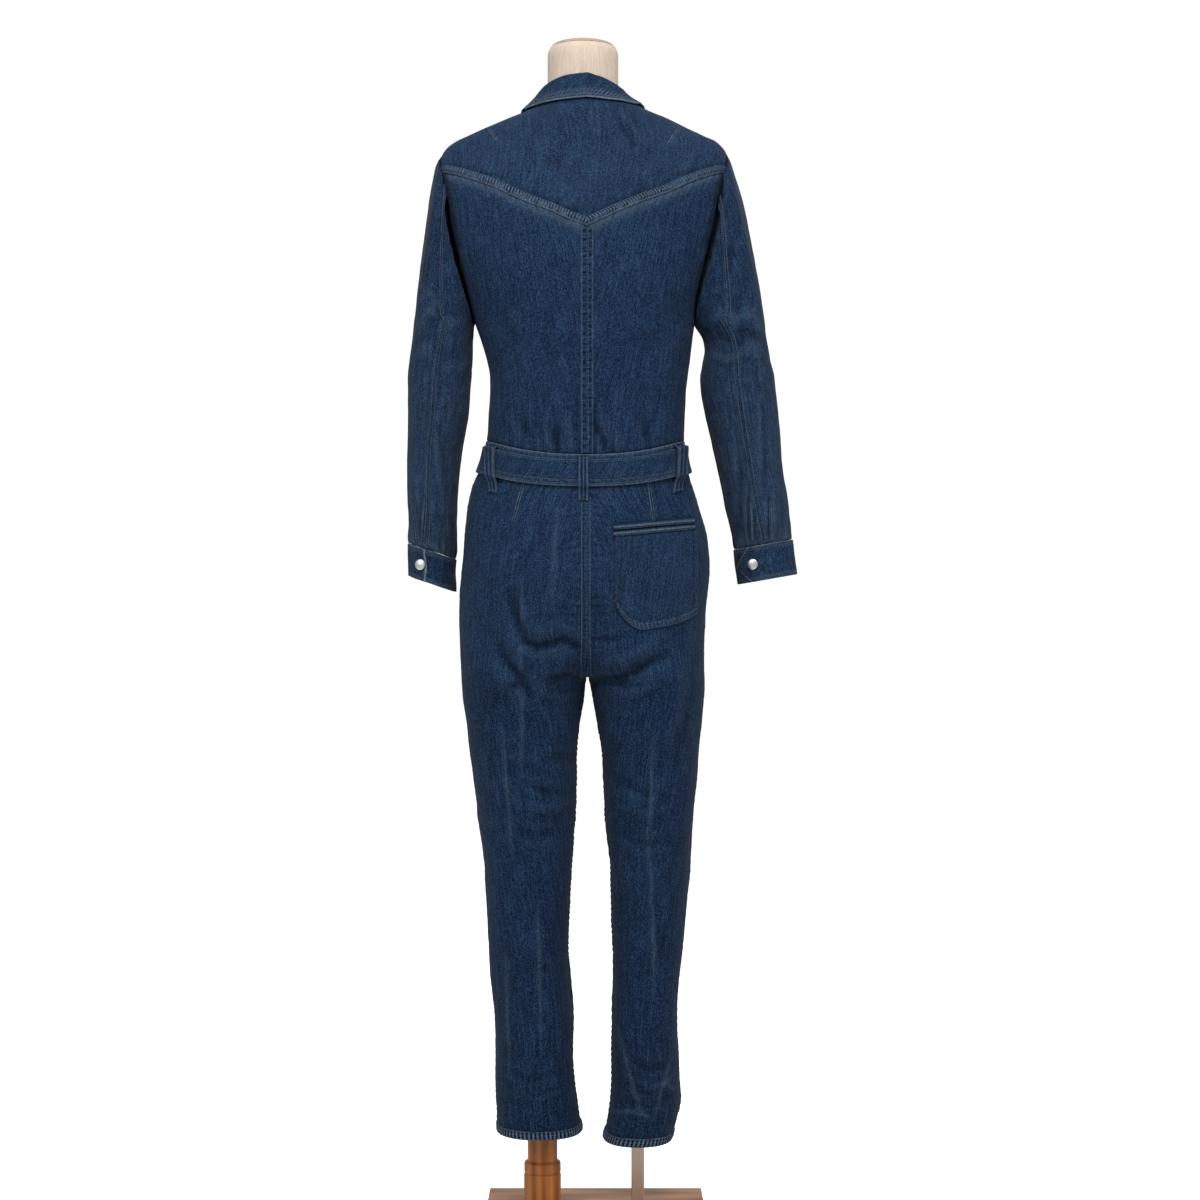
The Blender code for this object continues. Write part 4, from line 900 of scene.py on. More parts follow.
def new_group(name: str, inputs: Sequence[str], outputs: Sequence[str]) -> tuple[Nodes, dict[str, Socket], Node]:
    """An empty shader node group with named inputs and outputs.

    Args:
        name: the group's name.
        inputs: names of the numbers that go in beside the vector.
        outputs: names of the numbers that come out.

    Returns:
        The tree's helper, its given sockets by name, and its output node.
    """
    tree = bpy.data.node_groups.new(name, "ShaderNodeTree")
    tree.interface.new_socket("Vector", in_out="INPUT", socket_type="NodeSocketVector")
    for titles, way in ((inputs, "INPUT"), (outputs, "OUTPUT")):
        for title in titles:
            tree.interface.new_socket(title, in_out=way, socket_type="NodeSocketFloat")
    given = tree.nodes.new("NodeGroupInput").outputs
    return Nodes(tree), {title: given[title] for title in ("Vector", *inputs)}, tree.nodes.new("NodeGroupOutput")


def twill_group() -> Tree:
    """Diagonal ribs, slubbed yarn and its height, from a cloth's own UV map."""
    make, given, out = new_group("twill", ("Ribs", "Slub"), ("Tone", "Height"))
    mapping = make.add("Mapping", Vector=given["Vector"], Rotation=(0, 0, math.radians(63)))
    wave = make.add("TexWave", Vector=mapping.outputs[0], Scale=given["Ribs"], Distortion=1.2, Detail=1.0).outputs["Fac"]
    yarn = make.noise(given["Vector"], 620.0, (1.0, 0.06, 1.0), 2.0)
    weft = make.noise(given["Vector"], 700.0, (0.08, 1.0, 1.0), 1.0)
    tone = make.plus(make.about(yarn, given["Slub"]), make.about(weft, 0.5))
    make.put(out.inputs["Tone"], make.plus(tone, make.about(wave, 0.35)))
    make.put(out.inputs["Height"], make.plus(wave, yarn))
    return make.tree


def wear_group() -> Tree:
    """Pale, rubbed places broken up by a small noise."""
    make, given, out = new_group("rubbed", ("Worn", "Scale"), ("Mask",))
    noise = make.add("TexNoise", Vector=given["Vector"], Scale=given["Scale"], Detail=4.0, Roughness=0.7)
    grit = make.ramp(noise.outputs["Fac"], 0.32, 0.68)
    mask = make.times(given["Worn"], make.plus(0.35, make.times(grit, 0.9)))
    make.put(out.inputs["Mask"], make.math("MINIMUM", mask, 1.0))
    return make.tree


def grain_group() -> Tree:
    """Long streaks with rings, for wood and for brushed metal."""
    make, given, out = new_group("grain", ("Scale",), ("Streaks", "Rings"))
    streaks = make.add("TexNoise", Vector=given["Vector"], Scale=given["Scale"], Detail=5.0, Roughness=0.65)
    rings = make.add("TexWave", Vector=given["Vector"], Scale=make.times(given["Scale"], 0.16), Distortion=7.0,
        Detail=3.0, Detail_Scale=0.8)
    make.put(out.inputs["Streaks"], streaks.outputs["Fac"])
    make.put(out.inputs["Rings"], rings.outputs["Fac"])
    return make.tree


class Finishes:
    """Every material, made once, from shared node groups."""

    def __init__(self) -> None:
        """Builds the groups."""
        self.twill, self.rubbed, self.grain = twill_group(), wear_group(), grain_group()

    def blank(self, name: str, **values: object) -> tuple[Material, Nodes, Socket]:
        """A new material, its shader's own sockets set, with its helper and place."""
        material = bpy.data.materials.new(name)
        material.use_nodes = True
        make = Nodes(material.node_tree)
        self.set(make, **values)
        return material, make, make.place()

    @staticmethod
    def set(make: Nodes, **values: object) -> None:
        """Sets or joins the Principled shader's inputs by name."""
        for title, value in values.items():
            make.put(make.tree.nodes["Principled BSDF"].inputs[title.replace("_", " ")], value)

    def bump(self, make: Nodes, height: Socket, distance: float, strength: float) -> None:
        """Joins a height to the shader's normal."""
        self.set(make, Normal=make.add("Bump", Height=height, Distance=distance, Strength=strength).outputs["Normal"])

    def denim(self, name: str, dark: Colour, pale: Colour, faded: Colour) -> Material:
        """Washed denim: twill, slub, faded patches, worn ridges, painted shade in grooves, and painted light that pales
        it towards the top.
        """
        material, make, place = self.blank(name, Roughness=0.86, Specular_IOR_Level=0.07, Sheen_Weight=0.03,
            Sheen_Roughness=0.55)
        uv, worn, deep = make.cloth(), make.marked("worn"), make.marked("deep")
        twill = make.add("Group", node_tree=self.twill, Vector=uv, Ribs=260.0, Slub=1.5)
        rubbed = make.add("Group", node_tree=self.rubbed, Vector=place, Worn=worn, Scale=330.0)
        flecks = make.plus(make.times(make.noise(place, 760.0, (1, 1, 0.6), 2.0), 2.5),
            make.times(make.noise(uv, 420.0, (1, 0.05, 1), 2.0), 1.0))
        tone = make.plus(make.about(make.noise(place, 11.0, (1, 1, 0.6)), 0.34),
            make.about(make.noise(place, 60.0, (1, 1, 0.8)), 0.26))
        tone = make.plus(tone, make.math("SUBTRACT", flecks, 1.75))
        tone = make.plus(tone, make.times(twill.outputs["Tone"], 0.36))
        # Paler towards the top: painted light from above.
        level = make.add("SeparateXYZ", Vector=place).outputs["Z"]
        tone = make.plus(0.20, make.plus(make.times(make.ramp(level, 0.30, 1.0), 0.09), tone))
        colour = make.mix(make.math("MAXIMUM", make.math("MINIMUM", tone, 1.0), 0.0), dark, pale)
        colour = make.mix(make.times(rubbed.outputs["Mask"], 0.72), colour, faded)
        # Painted shade darkens the colour towards a near-black blue in grooves, fold troughs, slits and under edges.
        self.set(make, Base_Color=make.mix(make.times(deep, 0.8), colour, tuple(c * 0.3 for c in dark)))
        puckers = make.times(make.noise(place, 190.0), make.plus(0.5, make.times(worn, 1.0)))
        self.bump(make, make.plus(make.times(twill.outputs["Height"], 0.16), puckers), 0.0008, 0.75)
        return material

    def thread(self, name: str, dark: Colour, pale: Colour) -> Material:
        """Sewing thread, dyed with the cloth and worn in places."""
        material, make, place = self.blank(name, Roughness=0.7)
        rubbed = make.add("Group", node_tree=self.rubbed, Vector=place, Worn=1.0, Scale=120.0)
        self.set(make, Base_Color=make.mix(rubbed.outputs["Mask"], dark, pale))
        self.bump(make, make.noise(place, 2400.0), 0.0002, 0.5)
        return material

    def linen(self, name: str, dark: Colour, pale: Colour) -> Material:
        """Plain-woven linen with uneven yarns both ways."""
        material, make, place = self.blank(name, Roughness=0.9, Specular_IOR_Level=0.2, Sheen_Weight=0.15)
        uv = make.cloth()
        yarns = make.plus(make.noise(uv, 640.0, (1.0, 0.05, 1.0), 2.0), make.noise(uv, 640.0, (0.03, 1.0, 1.0), 2.0))
        cloud = make.plus(0.28, make.times(make.noise(place, 30.0, detail=4.0), 0.5))
        share = make.plus(make.times(make.math("SUBTRACT", yarns, 1.0), 1.1), cloud, clamp=True)
        colour = make.mix(share, dark, pale)
        # Painted shade darkens the linen in the hollows of its folds and seam.
        groove = make.times(make.marked("deep"), 0.7)
        self.set(make, Base_Color=make.mix(groove, colour, tuple(c * 0.45 for c in dark)))
        self.bump(make, yarns, 0.0006, 0.8)
        return material

    def grained(self, name: str, dark: Colour, pale: Colour, stretch: Colour, rough: float, metal: bool) -> Material:
        """Waxed wood, or brushed or plated metal, with its grain along one axis.

        Args:
            name: the material's name.
            dark: the colour between the streaks.
            pale: the colour of the streaks.
            stretch: how the grain is stretched along X, Y and Z.
            rough: the roughness in the middle of its range.
            metal: metal with fine scratches, rather than wood with rings.

        Returns:
            The material.
        """
        coat = {} if metal else {"Coat_Weight": 0.04, "Coat_Roughness": 0.25}
        material, make, place = self.blank(name, Metallic=float(metal), **coat)
        mapping = make.add("Mapping", Vector=place, Scale=stretch)
        grain = make.add("Group", node_tree=self.grain, Vector=mapping.outputs[0], Scale=900.0 if metal else 130.0)
        streaks = grain.outputs["Streaks"]
        if metal:
            share = make.plus(make.times(streaks, 0.7), make.times(make.noise(place, 26.0, (1, 1, 0.3)), 0.5), clamp=True)
        else:
            share = make.plus(make.times(streaks, 0.85), make.about(grain.outputs["Rings"], 0.5))
            share = make.plus(share, make.about(make.noise(place, 9.0), 0.9), clamp=True)
        low, gain, distance, strength = (0.1, 0.25, 0.0001, 0.4) if metal else (0.08, 0.2, 0.0006, 0.5)
        self.set(make, Base_Color=make.mix(share, dark, pale),
            Roughness=make.plus(rough - low, make.times(streaks, gain)))
        self.bump(make, streaks, distance, strength)
        return material


# ---- panels


@dataclass
class Patch:
    """Part of the body's cloth read on a fine grid, with its place and normals."""

    side: Grid
    face: Face
    base: Grid
    normal: Grid

    @classmethod
    def read(cls, side: Side, face: Face, z: Grid, angle: Grid) -> Patch:
        """Reads the plain body at these heights and section angles."""
        base = Body.base(side, face, z, angle)
        return cls(np.full(base.shape[:-1], int(side)), face, base, Body.normal(side, face, z, angle))

    @classmethod
    def flat(cls, face: Face, x: Grid, z: Grid) -> Patch:
        """Reads the plain body at signed distances out and heights, both sides at once."""
        x, z = paired(x, z)
        base, normal = np.zeros((*x.shape, 3)), np.zeros((*x.shape, 3))
        for side in Side:
            mine = (x < 0) == (side == LEFT)
            angle = Body.angle_at(side, x[mine], z[mine])
            leg = z[mine] < SEAT_SPLITS
            angle = where(leg, Body.leg_angle_at(side, x[mine], z[mine]), angle)
            base[mine] = Body.base(side, face, z[mine], angle)
            normal[mine] = Body.normal(side, face, z[mine], angle)
        return cls(where(x < 0, -1, 1), face, base, normal)

    def joined(self, other: Patch) -> Patch:
        """This left half with a right half, the middle column shared."""
        return Patch(joined(self.side, other.side), self.face, joined(self.base, other.base),
            joined(self.normal, other.normal))

    @property
    def x(self) -> Grid:
        """Signed distances out."""
        return self.base[..., 0]

    @property
    def z(self) -> Grid:
        """Heights."""
        return self.base[..., 2]

    def cloth(self, name: str, lift: Grid, **values: object) -> Cloth:
        """A panel over this place; values are more of the panel's fields."""
        return Cloth(name, self.base, self.normal, lift, **values)

    def drape(self) -> Grid:
        """The folds of the cloth here."""
        return DRAPE.body(self.face, self.x, self.z)


def ruffle(away: Grid, along: Grid, width: float, height: float, pitch: float = 9.0) -> Grid:
    """The puckers of a sewn edge: small waves that fade with distance from it.

    Args:
        away: distance from the seam.
        along: distance along it.
        width: how far the puckers reach.
        height: how high they stand.
        pitch: their spacing.

    Returns:
        How far the cloth moves out.
    """
    fade = bell(away, width)
    wander = swell(along / 40, away / 30) * 2.0
    waves = sin(2 * math.pi * along / pitch + wander * 1.7)
    return height * fade * (0.55 * waves + 0.6 * crinkle(along / (pitch * 0.8), away / 6))


def column_angles(columns: int) -> Grid:
    """Section angles from the side seam to the middle."""
    return linspace(0, math.pi / 2, columns + 1)


def armhole_heights(side: Side, fine: int) -> tuple[Grid, Grid]:
    """Heights up the armhole below and above the yoke's end."""
    lower = linspace(ARMPIT, YOKE_END, ARMHOLE_ROWS * fine + 1)
    rise = linspace(0, 1, YOKE_ROWS * fine + 1)
    return lower, YOKE_END + (TIP[side][1] - YOKE_END) * (1 - (1 - rise) ** 1.6)


def waist_edge(side: Side, face: Face) -> Grid:
    """The bodice's lower edge as (distance out, height), side seam first."""
    angle = column_angles(HALF_COLUMNS * FINE)
    z = Body.waist(face, angle)
    return stack([np.abs(Body.base(side, face, z, angle)[:, 0]), z], axis=-1)


def side_edge(side: Side, face: Face, with_yoke: bool) -> Grid:
    """Side seam, then armhole, as (distance out, height)."""
    below = linspace(WAIST, ARMPIT, SIDE_ROWS * FINE + 1)[:-1]
    lower, upper = armhole_heights(side, FINE)
    hole = concatenate([lower, upper[1:]]) if with_yoke else lower
    column = f"{face}"
    out = concatenate([BODY[side].at("outer", below), ARMHOLE[side].at(column, hole)])
    return stack([out, concatenate([below, hole])], axis=-1)


def centre_edge(side: Grid, bottom: float, top: float) -> Grid:
    """A centre seam with its rows spread like those of the side edge."""
    along = concatenate([[0], np.cumsum(np.linalg.norm(np.diff(side, axis=0), axis=1))])
    z = bottom + (top - bottom) * along / along[-1]
    return stack([np.zeros(len(z)), z], axis=-1)


def yoke_seam_edge(side: Side) -> Grid:
    """The yoke's lower seam as (distance out, height)."""
    turn = column_angles(HALF_COLUMNS * FINE)
    out = ARMHOLE[side].at("back", YOKE_END) * cos(turn) ** (2 / FULLNESS)
    return stack([out, YOKE_SEAM[side].at("height", out)], axis=-1)


def shoulder_edge(side: Side, face: Face) -> Grid:
    """Shoulder seam from the tip to the neck, then the neckline to its middle."""
    out = linspace(TIP[side][0], NECK_HALF[side], SHOULDER_COLUMNS * FINE + 1)
    shoulder = stack([out, RIDGE[side].at("height", out)], axis=-1)
    turn = linspace(0, math.pi / 2, (HALF_COLUMNS - SHOULDER_COLUMNS) * FINE + 1)[1:]
    start = RIDGE[side].at("height", NECK_HALF[side])
    middle = NECK[face]
    neck = stack([NECK_HALF[side] * cos(turn), middle + (start - middle) * cos(turn)], axis=-1)
    return concatenate([shoulder, neck])


def bodice_patch(side: Side, face: Face, bottom: Grid, top: Grid, edge: Grid) -> Patch:
    """A bodice panel between its seams."""
    flat = coons(bottom, top, edge, centre_edge(edge, bottom[-1, 1], top[-1, 1]))
    return Patch.read(side, face, flat[..., 1], Body.angle_at(side, flat[..., 0], flat[..., 1]))


def from_edges(patch: Patch) -> dict[str, tuple[Grid, Grid]]:
    """For each edge of a panel: distance from it, and distance along it."""
    across, up = travel(patch.base, 1), travel(patch.base, 0)
    return {"l": (across, up), "r": (across[:, -1:] - across, up), "t": (up, across), "b": (up[-1:] - up, across)}


class Bodice:
    """Back panels, yoke and front panels."""

    def back(self, side: Side) -> Cloth:
        """A back panel: side seam, armhole, yoke seam, centre seam, waist."""
        patch = bodice_patch(side, BACK, waist_edge(side, BACK), yoke_seam_edge(side), side_edge(side, BACK, False))
        near = from_edges(patch)
        lift = patch.drape()
        lift += ruffle(*near["r"], 20, 0.34, 19)
        lift += ruffle(*near["t"], 22, 0.45, 15)
        lift += ruffle(*near["b"], 15, 0.5, 12)
        lift += 0.8 * bell(near["l"][0], 16) * swell(near["l"][1] / 16, 4.0)
        worn = 0.25 * bell(near["b"][0], 10)
        armpit = smooth((patch.z - ARMPIT + 20) / 60)
        shade = 0.9 * bell(near["t"][0], 2.6) + armpit * 1.1 * bell(near["l"][0], 10)
        shade += 0.35 * bell(near["r"][0] - 9.5, 1.6) + 0.4 * bell(near["b"][0], 3)
        return patch.cloth(f"back_{side}", lift, worn=worn, shade=shade, rub=0.15)

    def yoke(self) -> Cloth:
        """The yoke in one piece, its lower edge turned under and lapped proud."""
        halves = []
        for side in Side:
            hole = armhole_heights(side, FINE)[1]
            edge = stack([ARMHOLE[side].at("back", hole), hole], axis=-1)
            halves.append(bodice_patch(side, BACK, yoke_seam_edge(side), shoulder_edge(side, BACK), edge))
        patch = halves[0].joined(halves[1])
        up = travel(patch.base, 0)
        along = travel(patch.base, 1)[:1] + 0 * up
        lift = patch.drape() * 0.9
        proud = 1.5 * smooth((13.0 - up) / 3.0)
        ticks = 0.34 * sin(2 * math.pi * along / 4.3 + 1.5 * crinkle(along / 14, 3.0))
        band = bell(up - 5.5, 4.6)
        lift += proud + band * ticks - 0.5 * bell(up - 10.6, 0.9)
        lift += ruffle(np.abs(up - 14), along, 12, 0.5, 8)
        worn = 0.45 * bell(up - 0.4, 1.0) + 0.1 * band * (ticks > 0) + 0.02
        shade = 0.5 * bell(up - 2.6, 1.2) + 0.25 * bell(up - 12.5, 2)
        return patch.cloth("yoke_back", lift, worn=worn, shade=shade, rub=0.15)

    def front(self, side: Side) -> Cloth:
        """A front panel from the shoulder to the waist."""
        patch = bodice_patch(side, FRONT, waist_edge(side, FRONT), shoulder_edge(side, FRONT),
            side_edge(side, FRONT, True))
        near = from_edges(patch)
        lift = patch.drape() * 0.8 + ruffle(*near["r"], 24, 0.5, 17)
        lift += ruffle(*near["b"], 15, 0.5, 12)
        worn = 0.16 * bell(near["b"][0], 12)
        return patch.cloth(f"front_{side}", lift, worn=worn, rub=0.15)


class Collar:
    """A turned-down collar: its stand, the fold, and the fall outside it."""

    COLUMNS = 168
    ROWS = 44

    def section(self, side: Side, share: float) -> Grid:
        """Seven points of the collar's section from the neck seam to its edge."""
        cut = COLLAR[side]
        face = FRONT if share > 0.5 else BACK
        turn = (1 - share) * math.pi if share > 0.5 else share * math.pi
        start = RIDGE[side].at("height", NECK_HALF[side])
        middle = NECK[face]
        z = middle + (start - middle) * math.sin(turn)
        foot = Body.base(side, face, z, Body.angle_at(side, NECK_HALF[side] * math.sin(turn), z))
        edge_x, edge_z = cut.at("edge_x", share), cut.at("edge_z", share)
        angle = Body.angle_at(side, edge_x, edge_z)
        lie = Body.base(side, face, edge_z, angle) + COLLAR_LIFT * Body.normal(side, face, edge_z, angle)
        away = array([foot[0], foot[1] - 8.0, 0.0])
        away = unit(away) if np.linalg.norm(away) > 1 else array([0.0, -1.0, 0.0])
        foot = foot + array([0, 0, 2.2]) - 1.0 * away
        top = foot + away * cut.at("reach", share) + array([0, 0, cut.at("rise", share)])
        over = unit(lie - top)
        crest = top + away * 3.0 + array([0, 0, 1.2])
        turned = top + away * 5.4 + over * 2.0
        return array([foot, foot + (top - foot) * 0.55, top, crest, turned, turned + (lie - turned) * 0.5, lie])

    def refined(self, points: Grid) -> Grid:
        """Evenly spaced points along a smooth curve through a section's points."""
        padded = concatenate([2 * points[:1] - points[1:2], points, 2 * points[-1:] - points[-2:-1]])
        runs = []
        t = linspace(0, 1, 24, endpoint=False)[:, None]
        for a, b, c, d in zip(padded[:-3], padded[1:-2], padded[2:-1], padded[3:]):
            runs.append(0.5 * (2 * b + (c - a) * t + (2 * a - 5 * b + 4 * c - d) * t ** 2
                + (3 * b - a - 3 * c + d) * t ** 3))
        line = concatenate([*runs, points[-1:]])
        travelled = travel(line[None], 1)[0]
        at = linspace(0, travelled[-1], self.ROWS + 1)
        return read_at(at, travelled, line)

    def cloth(self) -> Cloth:
        """The collar with its stitched, worn edge."""
        half = self.COLUMNS // 2
        columns = [self.refined(self.section(LEFT, s)) for s in linspace(1, 0, half + 1)]
        columns += [self.refined(self.section(RIGHT, s)) for s in linspace(0, 1, half + 1)[1:]]
        outer = array(columns).transpose(1, 0, 2)
        normal = unit(np.cross(gradient(outer, axis=0), gradient(outer, axis=1)))
        normal = -normal if normal[self.ROWS // 2 + 12, half, 1] > 0 else normal
        around, down = travel(outer, 1), travel(outer, 0)
        left = down[-1:] - down
        lift = -0.45 * bell(left - 5.5, 0.9) - 0.45 * bell(left - 11, 0.9)
        band = bell(left - 6, 6)
        lift += band * 0.35 * sin(2 * math.pi * around / 5.2 + 2 * crinkle(around / 16, 1.0))
        lift += 0.5 * swell(around / 26, down / 20) + 0.22 * crinkle(around / 7, down / 9)
        fall = smooth((70 - left) / 60)
        ticks = sin(2 * math.pi * around / 5.2 + 2 * crinkle(around / 16, 1.0))
        worn = fall * (1.0 * bell(left - 0.6, 1.7) + 0.40 * bell(left - 5.0, 1.2))
        worn += 0.02 + fall * 0.5 * bell(left - 9.5, 3.4) * clip(ticks, 0, 1)
        shade = fall * (0.55 * bell(left - 2.6, 1.0) + 0.45 * band * clip(-ticks, 0, 1))
        cloth = Cloth("collar", outer, normal, lift, wall=TRIM_WALL, worn=worn, shade=shade, rub=0.2)
        cloth.edges = "b"
        return cloth


class Sleeves:
    """Two-piece sleeves with the pucker of their set-in tops, and snapped cuffs."""

    def grid(self, side: Side) -> tuple[Grid, Grid]:
        """Heights and places round the arm for every point of a sleeve."""
        fine = SLEEVE_FINE
        lower, upper = armhole_heights(side, fine)
        climb = concatenate([lower, upper[1:]])
        count = len(climb) - 1
        start_z = concatenate([climb, climb[-2:0:-1]])
        around = linspace(-1, 1, 2 * count + 1)[:-1]
        start_around = np.sign(around + 1e-9)
        start_around[0], start_around[count] = -1.0, 0.0
        ring_z = SLEEVE_TUBE[side][0]
        rows_z, rows_around = [], []
        for share in linspace(0, 1, CAP_ROWS * 9 + 1):
            rows_z.append(start_z + (ring_z - start_z) * share ** CAP_FALLS)
            rows_around.append(start_around + (around - start_around) * share ** CAP_SPREADS)
        below = np.arange(ring_z - 3.8, SLEEVE_TUBE[side][-1] + 1.9, -3.8)
        for z in [*below, SLEEVE_TUBE[side][-1]]:
            rows_z.append(np.full(around.shape, float(z)))
            rows_around.append(around)
        return array(rows_z), array(rows_around)

    def parts(self, side: Side) -> list[Cloth]:
        """The upper and the under sleeve."""
        z, around = self.grid(side)
        base, normal = Arm.base(side, z, around), Arm.normal(side, z, around)
        lift = DRAPE.arm(side, around, z)
        down = travel(base, 0)
        ease = np.arange(z.shape[1])[None] * 3.0 + 0 * z
        lift += ruffle(down, ease, 26, 1.0, 15.0) - 0.9 * bell(down, 5)
        to_cuff = z - SLEEVE_TUBE[side][-1]
        lift += bell(to_cuff, 22) * 0.9 * sin(around * 34 + 3 * crinkle(around * 5, 2.0))
        lift *= minimum(1, 0.3 + to_cuff / 12)
        tuck = smooth((YOKE_END + 2 - z[:1]) / 50) * (around[:1] < 0) + 0.06
        lift -= tuck * 8.0 * bell(down, 13)
        shade = 0.95 * tuck * bell(down, 15) + 0.5 * bell(to_cuff, 2.5)
        worn = 0.16 * bell(to_cuff, 12) + 0.06 * smooth((1330 - z) / 240)
        under = array([(-7.0, 4.2), (-2.5, 3.6), (-0.4, 2.2)])
        tucked = base[:1] + stack([side * under[:, :1], 0 * under[:, :1], 0 * under[:, :1]], -1)
        base, normal = concatenate([tucked, base]), concatenate([normal[:1]] * 3 + [normal])
        lift = concatenate([lift[:1] - under[:, 1:], lift])
        z, down, shade = (concatenate([grid[:1]] * 3 + [grid]) for grid in (z, down, shade))
        worn = concatenate([worn[:1]] * 3 + [worn])
        first, last = (column * SLEEVE_FINE for column in UNDER_COLUMNS[side])
        count = z.shape[1]
        chosen = {"under": list(range(first, last + 1)), "top": [column % count for column in range(last,
            count + first + 1)]}
        cloths = []
        for part, columns in chosen.items():
            piece = lift[:, columns].copy()
            if part == "top":
                across = travel(base[:, columns], 1)
                piece += 0.9 * smooth((9.5 - across) / 2.5)
                piece -= 0.45 * bell(across - 7.2, 0.8)
                piece += 0.25 * bell(across - 4, 3.5) * sin(down[:, columns] * 1.5)
            cloths.append(Cloth(f"sleeve_{side}_{part}", base[:, columns], normal[:, columns], piece,
                worn=worn[:, columns], shade=shade[:, columns], rub=0.3))
        return cloths

    def cuff(self, side: Side) -> Cloth:
        """A snapped band: its pointed end comes round the arm and laps over its start."""
        bottom, top = CUFF_BOTTOM[side], CUFF_TOP[side] - SEAM
        end, point = CUFF_END[side]
        along = linspace(0, 2 + CUFF_LAP, 190)
        rise = clip((along - 1.90) / 0.12, 0, 1)
        z = linspace(top, bottom, 27)[:, None] + 0 * along
        pointed = point * (1 - np.abs(linspace(-1, 1, 27)))
        around = end + CUFF_LAP - along - pointed[:, None] * clip((along - 2) / CUFF_LAP, 0, 1)
        wrapped = (around + 1) % 2 - 1
        base, normal = Arm.base(side, z, wrapped), Arm.normal(side, z, wrapped)
        across, down = travel(base, 1), travel(base, 0)
        height = down[-1:] + 0 * down
        to_end = across[:, -1:] - across
        lift = 1.0 + rise * (TRIM_WALL + 0.6) + 0 * across
        inside = minimum(minimum(down, height - down), to_end)
        lift -= 0.4 * bell(inside - 3.5, 0.8)
        puckers = sin(2 * math.pi * across / 5.0 + 2 * crinkle(across / 12, 5.0))
        lift += 0.26 * bell(inside - 2, 4) * puckers
        lift += 0.5 * swell(across / 30 + side, down / 20) + 0.2 * crinkle(across / 6, down / 8)
        worn = 0.62 * bell(inside - 0.5, 1.1) + 0.18 * bell(inside - 5, 1.4) + 0.02
        worn += 0.55 * bell(to_end - 1.2, 1.9)
        shade = 0.5 * bell(inside - 3, 1.1) * (0.6 + 0.4 * puckers) + 0.6 * bell(to_end - 5, 1.8)
        return Cloth(f"cuff_{side}", base, normal, lift, wall=TRIM_WALL, worn=worn, shade=shade, rub=0.3)


